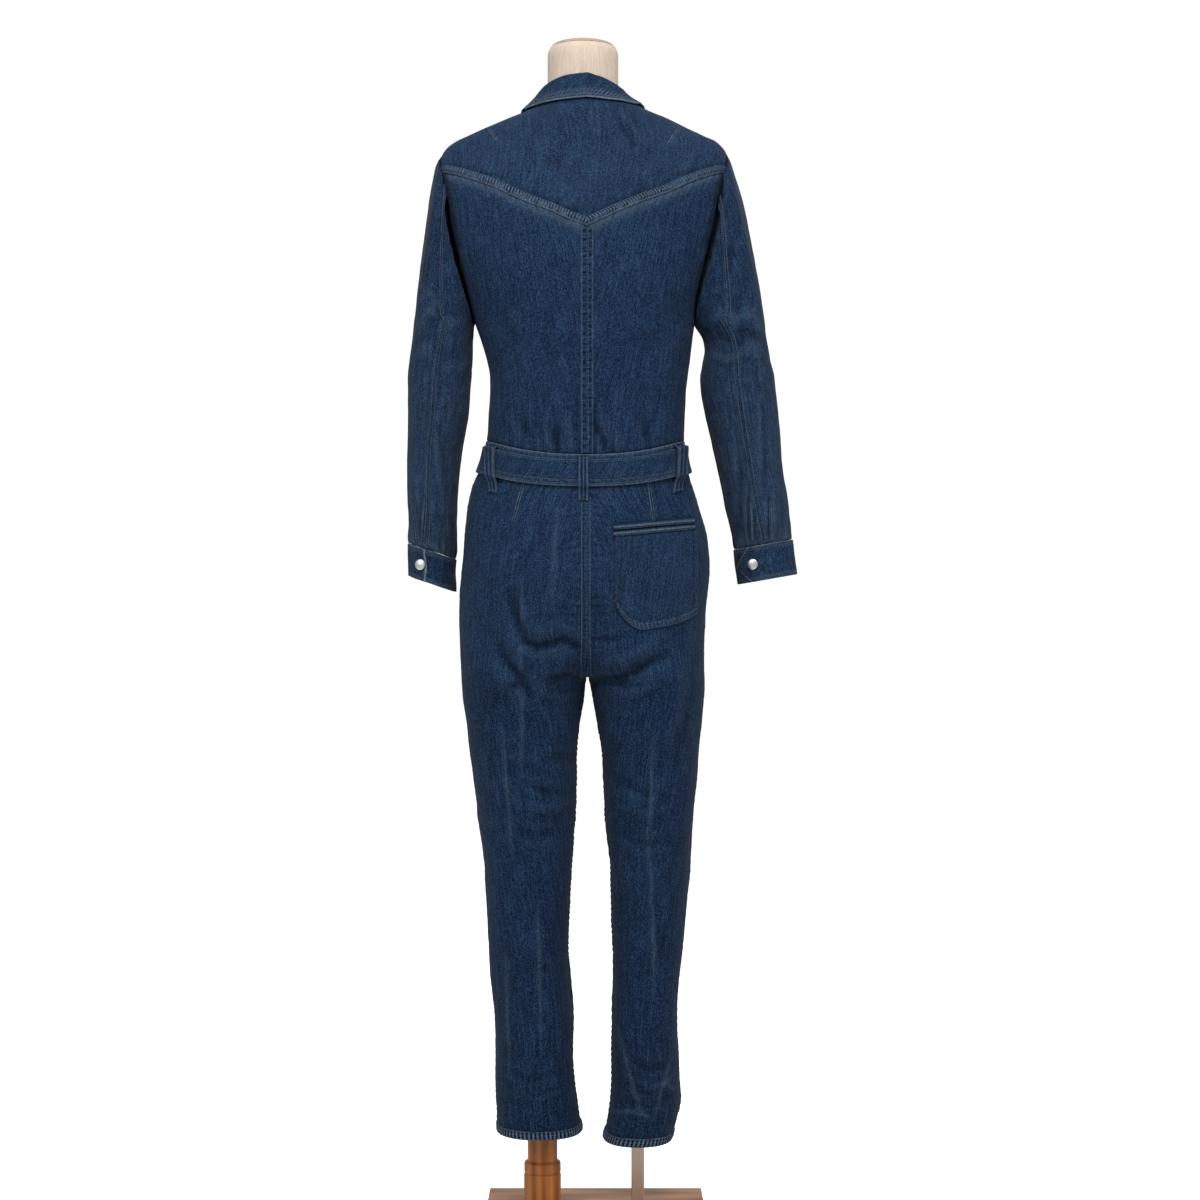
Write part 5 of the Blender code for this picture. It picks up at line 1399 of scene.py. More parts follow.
class Waist:
    """Waistband, belt and belt loops."""

    def band(self, side: Side, face: Face) -> Patch:
        """The waistband's half on one side."""
        below = linspace(0, WAISTBAND, 27)[:, None]
        angle = column_angles(HALF_COLUMNS * FINE)[None] + 0 * below
        return Patch.read(side, face, Body.waist(face, angle) - below, angle)

    def cloth(self, name: str, patch: Patch) -> Cloth:
        """A piece of the waistband with its stitched edges."""
        down, across = travel(patch.base, 0), travel(patch.base, 1)
        edge = minimum(down, down[-1:] - down)
        lift = 0.6 + ruffle(edge, across, 8, 0.5, 8.0) - 0.35 * bell(edge - 3, 0.8)
        worn = 0.5 * bell(edge, 1.8) + 0.03
        return patch.cloth(name, lift, wall=2.0, worn=worn, rub=0.3)

    def waistbands(self) -> list[Cloth]:
        """The back waistband and both front ones."""
        back = self.band(LEFT, BACK).joined(self.band(RIGHT, BACK))
        made = [self.cloth("waistband_back", back)]
        return made + [self.cloth(f"waistband_front_{s}", self.band(s, FRONT)) for s in Side]

    @staticmethod
    def line(share: float) -> tuple[Side, Face, float]:
        """Side, face and angle at a share of the way round from the middle front."""
        share = share % 1.0 * 4
        side, face, middle = ((LEFT, FRONT, 1), (LEFT, BACK, 1), (RIGHT, BACK, 3), (RIGHT, FRONT, 3))[int(share)]
        return side, face, math.pi / 2 * abs(share - middle)

    @classmethod
    def point(cls, share: float, below: Grid) -> tuple[Grid, Grid]:
        """Points and normals of the plain body along the belt at one share."""
        side, face, angle = cls.line(share)
        z = Body.waist(face, angle, BELT_DROP) - below
        angle = np.full(np.shape(z), angle)
        return Body.base(side, face, z, angle), Body.normal(side, face, z, angle)

    def belt(self) -> Cloth:
        """One strap round the waist; its tail lies over its start at the front."""
        shares = linspace(0.012, 1.115, 301)
        below = linspace(0, BELT_HEIGHT, 23)
        read = [self.point(s, below) for s in shares]
        base = array([points for points, _ in read]).transpose(1, 0, 2)
        normal = array([normals for _, normals in read]).transpose(1, 0, 2)
        tip = 5.5 - 11 * np.abs(linspace(-1, 1, 23))
        reach = clip((shares - 1.105) / 0.01, 0, 1)
        tangent = unit(gradient(base, axis=1))
        base = base + tangent * tip[:, None, None] * reach[None, :, None]
        lift = BELT_OFF + BELT_WALL + (BELT_WALL + LAP) * clip((shares - 0.965) / 0.04, 0, 1)
        lift = lift[None] + 0 * below[:, None]
        across, down = travel(base, 1), below[:, None] + 0 * lift
        left = BELT_HEIGHT - down
        for row in (4.2, 8.6):
            lift = lift - 0.32 * bell(left - row, 0.7)
        lift -= 0.32 * bell(down - 3.5, 0.7)
        edge = minimum(down, left)
        lift += bell(left - 6, 5) * 0.22 * sin(across * 1.35 + 2 * crinkle(across / 14, 9.0))
        lift += 0.4 * swell(across / 42, down / 30) + 0.2 * crinkle(across / 8, down / 10)
        ticks = sin(across * 1.35 + 2 * crinkle(across / 14, 9.0))
        worn = 0.5 * bell(left - 0.5, 1.0) + 0.3 * bell(down - 0.4, 0.9) + 0.01
        worn += 0.22 * bell(left - 6.4, 1.6) * clip(ticks, 0, 1)
        shade = 0.4 * bell(left - 4.2, 0.9) + 0.3 * bell(left - 8.6, 0.9)
        shade += 0.22 * clip(crinkle(across / 60, down / 1.6), 0, 1)
        return Cloth("belt", base, normal, lift, wall=BELT_WALL, worn=worn, shade=shade, rub=0.2)

    def loop(self, name: str, share: float) -> Cloth:
        """A ridged strap from the waistband over the belt to its foot on the leg."""
        clear = BELT_OFF + BELT_WALL + LOOP_CLEAR
        path = array([(1.5, 1.2), (4.0, 1.3), (6.5, clear + 1.0), (14.0, clear + 1.2), (34.0, clear + 1.2),
            (44.0, clear + 1.0), (50.0, 3.0), (56.0, 0.9), (63.0, 0.7)])
        below = linspace(path[0, 0], path[-1, 0], 62)
        off = np.interp(below, path[:, 0], path[:, 1])
        padded = concatenate([off[:1], off, off[-1:]])
        off = maximum(off, (padded[:-2] + padded[1:-1] + padded[2:]) / 3)
        side, face, angle = self.line(share)
        middle = self.point(share, array(0.0))[0][0]
        across = linspace(-LOOP_WIDTH / 2, LOOP_WIDTH / 2, 17)
        x = middle + across[None] + 0 * below[:, None]
        nearest = LEFT if middle < 0 else RIGHT
        turn = Body.angle_at(nearest, x, WAIST - below[:, None] - DIP[face] / 2)
        z = WAIST - below[:, None] - DIP[face] * sin(turn) ** 2
        patch = Patch.flat(face, x, z)
        lift = off[:, None] + LOOP_WALL + patch.drape()
        ridges = 0.30 * cos(2 * math.pi * across / 4.6)
        lift = lift + ridges[None] + 0.2 * crinkle(x / 4, z / 6)
        worn = 0.3 * bell(LOOP_WIDTH / 2 - np.abs(across), 1.2) + 0.26 * clip(ridges * 4 - 0.3, 0, 1)
        shade = 0.5 * clip(-ridges * 3.3, 0, 1)[None] + 0 * lift
        shade += 0.5 * (np.abs(below[:, None] - 60) < 1.2) * (0.5 + 0.5 * sin(across * 2.4))
        return patch.cloth(name, lift, wall=LOOP_WALL, worn=worn[None], shade=shade, rub=0.2, gap=0.0)


# Pale lines along faint creases on the backs of the legs.
PALE_LINES = folds("""
    2.6 1 41 299 54 245 70 192 84 178; 2.6 1 113 259 100 219 90 178; 2.6 1 30 182 56 190 84 182; 2.6 1
    116 236 104 226 118 214; 2.6 1 -108 402 -106 300 -104 232; 2.6 1 -66 470 -64 380 -62 290; 2.6 1 84
    520 88 430 90 340; 2.6 1 -84 900 -88 760 -86 640; 2.6 1 -40 990 -44 900 -46 860; 2.6 1 88 700 84 600
    80 520; 2.6 1 -112 700 -104 600 -100 540""")


class Legs:
    """Trouser legs, back and front, with their roped hems."""

    COLUMNS = {BACK: 72, FRONT: 48}
    PITCH = {BACK: 3.6, FRONT: 5.2}

    def cloth(self, side: Side, face: Face) -> Cloth:
        """One panel from the waistband to the hem."""
        top, count = WAIST - WAISTBAND, int((WAIST - WAISTBAND - HEM[LEFT]) / self.PITCH[face])
        rows = concatenate([linspace(top, 210, count - 16), linspace(206, HEM[LEFT], 40)])
        rows = rows - (HEM[LEFT] - HEM[side]) * clip((HEM_LEVELS - rows) / (HEM_LEVELS - HEM[LEFT]), 0, 1)
        angle = linspace(0, 1, self.COLUMNS[face] + 1)[None] * Body.last_angle(rows)[:, None]
        fade = clip((rows - DIP_FADES) / (top - DIP_FADES), 0, 1) ** 1.5
        z = rows[:, None] - DIP[face] * fade[:, None] * sin(angle) ** 2
        patch = Patch.read(side, face, z, angle)
        near = from_edges(patch)
        lift = patch.drape()
        up, across = near["b"]
        flare = bell(up - HEM_BAND, 14)
        roping = sin(2 * math.pi * (across + 0.35 * up) / 6.0 + 2 * crinkle(across / 13, 1.0))
        hem = smooth((HEM_BAND + 0.6 - up) / 1.2)
        lift = lift * (1 - 0.5 * hem) + 1.1 * hem + 0.34 * roping * bell(up - 6, 7)
        lift += 0.5 * flare * crinkle(across / 9, up / 16)
        seam = near["l"]
        lift += ruffle(*seam, 12, 0.55, 10)
        inseam = near["r"]
        below = smooth((CROTCH - z) / 30)
        lift += below * ruffle(*inseam, 15, 0.9, 8.5)
        lift += (1 - below) * ruffle(*inseam, 22, 0.8, 11)
        lift += ruffle(*near["t"], 13, 0.6, 9)
        roped = bell(inseam[0] - 3, 5) * below
        worn = roped * 0.4 * clip(sin(inseam[1] * 0.72), 0, 1) * smooth((620 - z) / 240)
        worn += 0.6 * bell(up, 1.6)
        if face == BACK:
            for line in PALE_LINES:
                worn += 0.16 * line.lift(patch.x, z)
        worn += 0.05 * bell(near["t"][0], 8) + 0.14 * bell(seam[0], 5)
        shade = 0.3 * bell(up - HEM_BAND - 2, 3) + 0.45 * bell(near["t"][0], 5)
        if face == BACK and side == RIGHT:
            x, slit = patch.x, 956 + 0.1 * (patch.x - 35) + 7.7
            inside = smooth((x - 32) / 3) * smooth((146 - x) / 3)
            shade += inside * (0.9 * bell(z - slit, 3.0) + 0.5 * bell(np.abs(z - slit) - 9.0, 3.0))
        return patch.cloth(f"leg_{face}_{side}", lift, worn=worn, shade=shade, rub=0.12)


# ---- strips and small cloths


@dataclass
class Strip:
    """A narrow, finely made band of cloth laid over a seam."""

    name: str
    base: Grid
    normal: Grid
    under: Grid
    above: float = 0.9
    tick: float = 4.3
    ticks: float = 0.3
    grooves: tuple[float, ...] = ()
    spots: tuple[float, ...] = ()
    worn: float = 0.2
    pale: float = 0.3
    # How much painted shade falls in the hollows between the puckers.
    dark: float = 0.0
    wall: float = 0.9

    def cloth(self) -> Cloth:
        """The band with soft borders, grooves where it is stitched and small puckers."""
        across, along = travel(self.base, 1), travel(self.base, 0)
        width = across[:, -1:]
        edge = minimum(across, width - across)
        lift = self.under + self.above * (0.35 + 0.65 * smooth(edge / 1.4))
        wander = 1.6 * crinkle(along / (self.tick * 3.1), across / 30 + len(self.name))
        waves = sin(2 * math.pi * along / self.tick + wander)
        inside = sin(math.pi * clip(across / width, 0, 1)) ** 0.6
        lift = lift + self.ticks * waves * inside
        lift = lift + 0.22 * crinkle(along / 6.0, across / 4.0 + 2)
        # Painted shade in the hollows between puckers, in the stitched grooves and in the sunk spots.
        shade = self.dark * clip(-waves, 0, 1) * inside
        for groove in self.grooves:
            line = bell(across - groove, 0.7)
            lift, shade = lift - 0.4 * line, shade + 0.55 * line
        for column in self.spots:
            beat = sin(2 * math.pi * along / 11.5 + 2.6 * crinkle(along / 26, column))
            spot = bell(across - column, 2.3) * clip(beat, 0, 1)
            lift, shade = lift - 0.5 * spot, shade + 0.95 * spot
        broken = 0.75 + 0.25 * crinkle(along / 7.0, across / 3.0 + 6)
        worn = self.worn * clip(waves, 0, 1) ** 2 * inside + self.pale * broken * bell(edge, 1.1)
        return Cloth(self.name, self.base, self.normal, lift, wall=self.wall, worn=worn, shade=shade, rub=0.3, gap=0.0)


def arm_strip(name: str, side: Side, line: Grid, width: float, **values: float) -> Strip:
    """A narrow strip down the back of a sleeve along a line of (x, height)."""
    travelled = travel(line[None], 1)[0]
    at = linspace(0, travelled[-1], int(travelled[-1] / 1.1))
    x, z = (np.interp(at, travelled, line[:, i])[:, None] for i in range(2))
    x = x + linspace(-width / 2, width / 2, 8)[None]
    z = z + 0 * x
    guess = linspace(-0.97, -0.02, 96)
    known = side * Arm.base(side, z[..., None], guess)[..., 0]
    nearest = np.argmin(np.abs(known - side * x[..., None]), axis=-1)
    step = guess[1] - guess[0]
    here = np.take_along_axis(known, nearest[..., None], -1)[..., 0]
    ahead = np.take_along_axis(known, minimum(nearest + 1, 95)[..., None], -1)[..., 0]
    around = guess[nearest] + step * clip((side * x - here) / where(ahead == here, 1, ahead - here), -1, 1)
    base, normal = Arm.base(side, z, around), Arm.normal(side, z, around)
    return Strip(name, base, normal, DRAPE.arm(side, around, z) + 0.2, **values)


def body_strip(name: str, face: Face, line: Grid, width: float, start: float, **values: float) -> Strip:
    """A strip on the body along a line of (x, height), its side offsets in that plane.

    Args:
        name: the strip's name.
        face: back or front.
        line: points along the strip's one border.
        width: how wide it is, to the left of the line's direction; negative goes right.
        start: how far from the line it starts.
        values: more of the strip's fields.

    Returns:
        The strip.
    """
    travelled = travel(line[None], 1)[0]
    at = linspace(0, travelled[-1], max(int(travelled[-1] / 1.1), 8))
    line = read_at(at, travelled, line)
    run = unit(gradient(line, axis=0))
    left = stack([-run[:, 1], run[:, 0]], axis=-1)
    across = start + linspace(0, 1, max(int(abs(width) / 0.9), 6)) * width
    flat = line[:, None] + left[:, None] * across[None, :, None]
    patch = Patch.flat(face, flat[..., 0], flat[..., 1])
    return Strip(name, patch.base, patch.normal, patch.drape(), **values)


# Bound slits and pleats above the cuffs: side, line, width and how pale the edges are.
SLITS = ((LEFT, ((-217.5, 1010), (-220, 982), (-222, 958)), 5.0, 0.8),
    (LEFT, ((-241, 1009), (-238, 985), (-233, 960)), 3.0, 0.5),
    (RIGHT, ((219, 1008), (221, 985), (222, 962)), 4.4, 0.7),
    (RIGHT, ((228, 990), (229.5, 975), (230, 962)), 3.0, 0.5),
    (RIGHT, ((247, 1008), (247.5, 985), (247.5, 962)), 3.0, 0.5),)

# Darts of yoke and seat: the panel each lies on, and its line.
DARTS = (("yoke_back", ((-133.7, 1511), (-127, 1500), (-120.6, 1489))),
    ("yoke_back", ((125.6, 1513), (117, 1498), (109, 1482))),
    ("leg_back_left", ((-84, 1029), (-91, 1004), (-98, 976))),
    ("leg_back_right", ((82.8, 1030), (86, 1005), (89.2, 978))),)


class Seams:
    """Every felled seam, band and hem that lies over the panels."""

    def strips(self) -> list[tuple[Strip, str]]:
        """Each strip with the node it is sewn on."""
        centre, seat = linspace(1363, 1067, 40), linspace(1008, 767, 44)
        left, right = linspace(193, 1.0, 60), linspace(193, 1.0, 60)[::-1] * 0.945
        yoke = [stack([side * out, YOKE_SEAM[side].at("height", out)], -1) for side, out in ((LEFT, left), (RIGHT, right))]
        made = [(body_strip("fell_centre_back", BACK, stack([0 * centre, centre], -1), 17, -8.5, spots=(4.6, 12.4),
            ticks=0.1, tick=5.5, above=0.9, pale=0.6, worn=0.08), "back_left"),
            (body_strip("fell_seat", BACK, stack([-1.5 + 0 * seat, seat], -1), 13, -6.5, grooves=(3.4, 8.6),
            ticks=0.08, tick=6.4, above=0.8, pale=0.50, worn=0.05), "leg_back_left"),
            (body_strip("fell_yoke", BACK, concatenate(yoke), 10.5, 0.6, grooves=(1.8,), ticks=0.42, tick=4.2,
            above=1.5, worn=0.75, pale=0.55, dark=1.0), "yoke_back")]
        for number, (side, line, width, pale) in enumerate(SLITS):
            strip = arm_strip(f"slit_{number}", side, array(line, float), width, above=0.9, ticks=0.05, worn=0.0,
                pale=pale, grooves=(width * 0.62,))
            made.append((strip, f"sleeve_{side}_top"))
        for number, (node, line) in enumerate(DARTS):
            made.append((body_strip(f"dart_{number}", BACK, array(line, float), 4.4, -2.2, grooves=(2.9,), above=0.9,
                ticks=0.05, worn=0.0, pale=0.75, dark=0.0), node))
        for side in Side:
            made += [(self.hem(side), f"leg_back_{side}"), (self.sleeve_fell(side), f"sleeve_{side}_top"),
                (self.inseam(side), f"leg_back_{side}")]
        return made

    def hem(self, side: Side) -> Strip:
        """The turned-up hem round a leg, roped all the way."""
        rise = HEM[side] + linspace(0.2, HEM_BAND + 0.6, 12)
        rings = []
        for face, turn in ((BACK, 1), (FRONT, -1)):
            angle = linspace(0, 1, 190)[::turn]
            angle = angle[:, None] * Body.last_angle(rise)[None]
            level = rise[None] + 0 * angle
            patch = Patch.read(side, face, level, angle)
            rings.append((patch.base, patch.normal, patch.drape() * 0.5))
        base, normal, under = (concatenate([back, front[1:]]) for back, front in zip(*rings))
        return Strip(f"hem_{side}", base, normal, under, above=1.9, tick=5.6, ticks=0.5, grooves=(9.8,), worn=1.0,
            pale=0.6, dark=0.9)

    def inseam(self, side: Side) -> Strip:
        """The inner leg seam's felled band, on the back of the leg."""
        rise = linspace(HEM[side] + HEM_BAND + 3, 700, 320)[:, None]
        angle = Body.last_angle(rise) * linspace(0.93, 0.998, 8)[None]
        patch = Patch.read(side, BACK, rise + 0 * angle, angle)
        return Strip(f"fell_inseam_{side}", patch.base, patch.normal, patch.drape(), above=0.7, tick=8.0, ticks=0.5,
            grooves=(2.0, 6.5), worn=0.25, pale=0.2, dark=0.4)

    def sleeve_fell(self, side: Side) -> Strip:
        """The felled seam down the back of a sleeve, over the upper sleeve's edge."""
        z, around = Sleeves().grid(side)
        start = UNDER_COLUMNS[side][1] * SLEEVE_FINE
        columns = start + linspace(-0.2, 3.4, 10) + (2.6 if side == RIGHT else 0.0)
        low = np.floor(columns).astype(int)
        share = columns - low
        z = z[:, low] * (1 - share) + z[:, low + 1] * share
        around = around[:, low] * (1 - share) + around[:, low + 1] * share
        for _ in range(60):
            for path in (z, around):
                path[1:-1] = (path[:-2] + 2 * path[1:-1] + path[2:]) / 4
        rows = linspace(2, len(z) - 2, 2 * len(z))
        row, part = np.floor(rows).astype(int), (rows % 1)[:, None]
        z = z[row] * (1 - part) + z[row + 1] * part if row.max() < len(z) - 1 else z[row]
        around = around[row] * (1 - part) + around[minimum(row + 1, len(around) - 1)] * part
        base, normal = Arm.base(side, z, around), Arm.normal(side, z, around)
        return Strip(f"fell_sleeve_{side}", base, normal, DRAPE.arm(side, around, z) + 0.7, above=0.8, tick=5.0,
            ticks=0.12, grooves=(1.4, 4.6), worn=0.06, pale=0.26)


class Pockets:
    """Back pocket with two welts and its stitched-through bag, and side pockets."""

    def welts(self) -> list[Cloth]:
        """The two rolled lips of the back pocket's slit."""
        x = linspace(35, 142, 121)[None]
        made = []
        for name, foot in (("welt_lower", 0.0), ("welt_upper", 8.4)):
            rise = linspace(7.0, 0.0, 15)[:, None]
            z = 956 + 0.1 * (x - 35) + foot + rise
            patch = Patch.flat(BACK, x + 0 * z, z)
            roll = sin(math.pi * rise / 7.0)
            lift = PATCH_OFF + 1.8 + patch.drape() + 0.9 * roll - 0.4
            lift += 0.28 * sin(x * 0.95 + 2 * crinkle(x / 12, foot)) * roll
            lift -= 0.5 * bell(rise - 1.6, 0.6)
            worn = 0.45 * roll ** 5 + 0.04
            shade = 0.7 * bell(rise - 1.6, 0.7) + 0.8 * bell(rise - (7 if foot == 0 else 0), 0.8)
            made.append(patch.cloth(name, lift, wall=2.2, worn=worn, shade=shade, rub=0.1, gap=0.0))
        return made

    def bag(self) -> Cloth:
        """The pocket bag felt through the cloth, its roped stitching round the edge."""
        bottom = Table("x z", """
    36 869; 43 856; 67 834; 88 835; 110 839; 125 844; 140 852; 146 857""")
        x = linspace(36, 146, 73)[None]
        share = linspace(0, 1, 73)[:, None]
        z = (956 + 0.1 * (x - 35) - SEAM) * (1 - share) + bottom.at("z", x) * share
        patch = Patch.flat(BACK, x + 0 * z, z)
        near = from_edges(patch)
        foot = minimum(near["b"][0], minimum(near["l"][0] + 1.5, near["r"][0] + 1.5))
        rope = near["b"][1] + near["b"][0] * 0.6
        lift = PATCH_OFF + 1.2 + patch.drape() - 1.0 * smooth(foot / 10) - 0.9 * bell(foot, 1.2)
        band = bell(foot - 6, 4.5)
        lift += band * (0.8 + 0.34 * sin(rope * 1.1 + 2 * crinkle(rope / 10, 3.0)))
        lift -= 0.5 * bell(foot - 11.5, 1.4)
        low = smooth((900 - z) / 40)
        worn = 0.22 * band * clip(sin(rope * 1.1), 0, 1) * low + 0.02
        shade = (0.15 + 0.5 * low) * bell(foot, 1.6) + 0.25 * low * band * clip(-sin(rope * 1.1), 0, 1)
        return patch.cloth("pocket_back", lift, wall=1.2, worn=worn, shade=shade, rub=0.1, gap=0.0)

    def side(self, side: Side) -> Cloth:
        """A side pocket at the front hip with a slanted mouth."""
        x = linspace(148, 78, 41)[None]
        top = 948 + (148 - x) * 0.85
        share = linspace(0, 1, 41)[:, None]
        bottom = 846 + 6 * np.abs(linspace(-1, 1, 41))[None] ** 3
        z = top * (1 - share) + bottom * share
        patch = Patch.flat(FRONT, side * (x + 0 * z), z)
        near = from_edges(patch)
        edge = minimum(minimum(near["t"][0], near["b"][0]), minimum(near["l"][0], near["r"][0]))
        lift = PATCH_OFF + TRIM_WALL + patch.drape() - 0.4 * bell(edge - 3, 0.9)
        lift += ruffle(edge, near["t"][0] + near["l"][0], 7, 0.4, 7)
        worn = 0.5 * bell(edge, 1.6) + 0.02
        return patch.cloth(f"pocket_front_{side}", lift, wall=TRIM_WALL, worn=worn, rub=0.15, gap=0.0)

    def down_front(self, name: str, top: float, bottom: float) -> Cloth:
        """A stitched band over the middle front between two heights."""
        z = linspace(top, bottom, int((top - bottom) / 3.2))[:, None]
        x = linspace(-17, 17, 23)[None]
        patch = Patch.flat(FRONT, x + 0 * z, z + 0 * x)
        edge = 17 - np.abs(x)
        lift = STRIP_OFF + TRIM_WALL + patch.drape() - 0.4 * bell(edge - 4, 0.9)
        lift += 0.25 * bell(edge - 2, 3) * sin(z * 1.1 + 2 * crinkle(z / 14, 2.0))
        worn = 0.5 * bell(edge, 1.6) + 0.02 + 0 * z
        return patch.cloth(name, lift, wall=TRIM_WALL, worn=worn, rub=0.15, gap=0.0)


# ---- form and stand


class Form:
    """The linen-covered torso with its neck, and the cap on it."""

    TURN = 2 * math.pi * np.arange(96) / 96

    def hoop(self, radius: Grid | float, z: float) -> Grid:
        """A level ring about the neck's middle."""
        return stack([NECK_CENTRE[0] + radius * cos(self.TURN), NECK_CENTRE[1] + radius * sin(self.TURN),
            z + 0 * self.TURN], -1)

    def ring(self, z: float) -> Grid:
        """One level of the torso."""
        below = np.interp(z, (1500, 1530), (FORM_UNDER["shoulder"], FORM_UNDER["neck"]))
        reach = {}
        for side in Side:
            x = linspace(230, 60, 341)
            under = RIDGE[side].at("height", x) - below > z
            shoulder = x[under][0] if under.any() else 60.0
            hole = min(float(ARMHOLE[side].at(c, z)) for c in ("back", "front")) - FORM_EASE
            reach[side] = min(shoulder, hole if z > ARMPIT else float(BODY[side].at("outer", z)) - FORM_EASE)
        points = []
        for turn in self.TURN:
            side = RIGHT if math.cos(turn) >= 0 else LEFT
            face = FRONT if math.sin(turn) >= 0 else BACK
            out = reach[side] * abs(math.cos(turn)) ** (2 / FULLNESS)
            depth = float(BODY[side].at(f"{face}", z)) - FORM_EASE
            drop = clip(RIDGE[side].at("height", out) - below - z, 0, TOP_ROUND[face])
            over = math.sqrt(1 - (1 - drop / TOP_ROUND[face]) ** 2)
            fit = max(0.0, 1 - (out / reach[side]) ** FULLNESS) ** (1 / FULLNESS)
            points.append((side * out, face * depth * fit * over, z))
        return array(points)

    def torso(self) -> Piece:
        """Torso and neck in one closed skin."""
        heights = [*linspace(FORM_BOTTOM, 1460, 42), 1470, 1480, 1489, 1497, 1504, 1511, 1517, 1522, 1526, 1530]
        rings = [self.ring(z) for z in heights]
        for z in (1541, 1553, 1565, 1577, 1589, 1600, 1610, NECK_TOP - 8, NECK_TOP - 5, NECK_TOP - 2.5,
                NECK_TOP - 0.8, NECK_TOP):
            radius = NECK_RADIUS + (z == 1541) - 4.2 * smooth((z - NECK_TOP + 9) / 13)
            rings.append(self.hoop(radius, z))
        return lathed("linen_torso", array(rings))

    def cap(self) -> Piece:
        """The padded cap over the neck, its seam drawn in."""
        low = NECK_TOP + SEAM
        profile = [(CAP_RADIUS - 1.2, low), (CAP_RADIUS - 0.3, low + 0.7), (CAP_RADIUS - 0.5, low + 1.8),
            (CAP_RADIUS - 2.4, low + 3.6), (CAP_RADIUS - 5.5, low + 5.2), (CAP_RADIUS - 10, low + 6.6),
            (CAP_RADIUS - 16, low + 7.5), (18, low + 8.0), (8, low + 8.2)]
        rings = []
        for radius, z in profile:
            crimp = 0.25 * sin(self.TURN * 46) * math.exp(-((z - low - 1) / 2) ** 2)
            rings.append(self.hoop(radius + crimp, z))
        return lathed("linen_cap", array(rings))

    def seam(self) -> Piece:
        """The raised seam up the back of the neck."""
        z = linspace(1536, NECK_TOP - 8, 60)[:, None]
        x = linspace(-2.2, 2.2, 7)[None] - 7.0
        y = NECK_CENTRE[1] - np.sqrt(NECK_RADIUS ** 2 - (x - NECK_CENTRE[0]) ** 2)
        base = stack(np.broadcast_arrays(x, y, z), -1)
        normal = unit(base - array([*NECK_CENTRE, 0.0]) * array([1, 1, 0]) - base * array([0, 0, 1]))
        lift = 0.55 - 0.12 * (x + 7.0) ** 2 + 0.1 * sin(z * 1.4)
        return Cloth("linen_neck_seam", base, normal, lift, wall=0.7, gap=0.0, edges="").shell()


def lathed(name: str, rings: Grid) -> Piece:
    """A closed skin through rings of points, with a UV map of real lengths."""
    count, segments = rings.shape[:2]
    wrapped = concatenate([rings, rings[:, :1]], axis=1)
    u, v = travel(wrapped, 1) * MM, travel(wrapped, 0) * MM
    mesh = bpy.data.meshes.new(name)
    points = [tuple(p) for p in rings.reshape(-1, 3) * MM]
    points += [tuple(rings[0].mean(0) * MM), tuple(rings[-1].mean(0) * MM)]
    faces, uvs = [], []
    for row in range(count - 1):
        for step in range(segments):
            ahead = (step + 1) % segments
            faces.append((row * segments + step, row * segments + ahead, (row + 1) * segments + ahead,
                (row + 1) * segments + step))
            uvs += [(u[row, step], v[row, step]), (u[row, step + 1], v[row, step + 1]),
                (u[row + 1, step + 1], v[row + 1, step + 1]), (u[row + 1, step], v[row + 1, step])]
    for pole, row, flip in ((len(points) - 2, 0, True), (len(points) - 1, count - 1, False)):
        for step in range(segments):
            ends = [row * segments + step, row * segments + (step + 1) % segments]
            faces.append((*(ends[::-1] if flip else ends), pole))
            uvs += [tuple(rings[row, step, :2] * MM)] * 3
    mesh.from_pydata(points, [], faces)
    layer = mesh.uv_layers.new(name="cloth")
    layer.data.foreach_set("uv", array(uvs, np.float32).ravel())
    # Wear and painted shade stay empty on these skins.
    for title in ("worn", "deep"):
        mesh.attributes.new(title, "FLOAT", "POINT")
    mesh.shade_smooth()
    mesh.set_sharp_from_angle(angle=math.radians(50))
    obj = placed(name, mesh)
    recalculate(obj)
    return obj


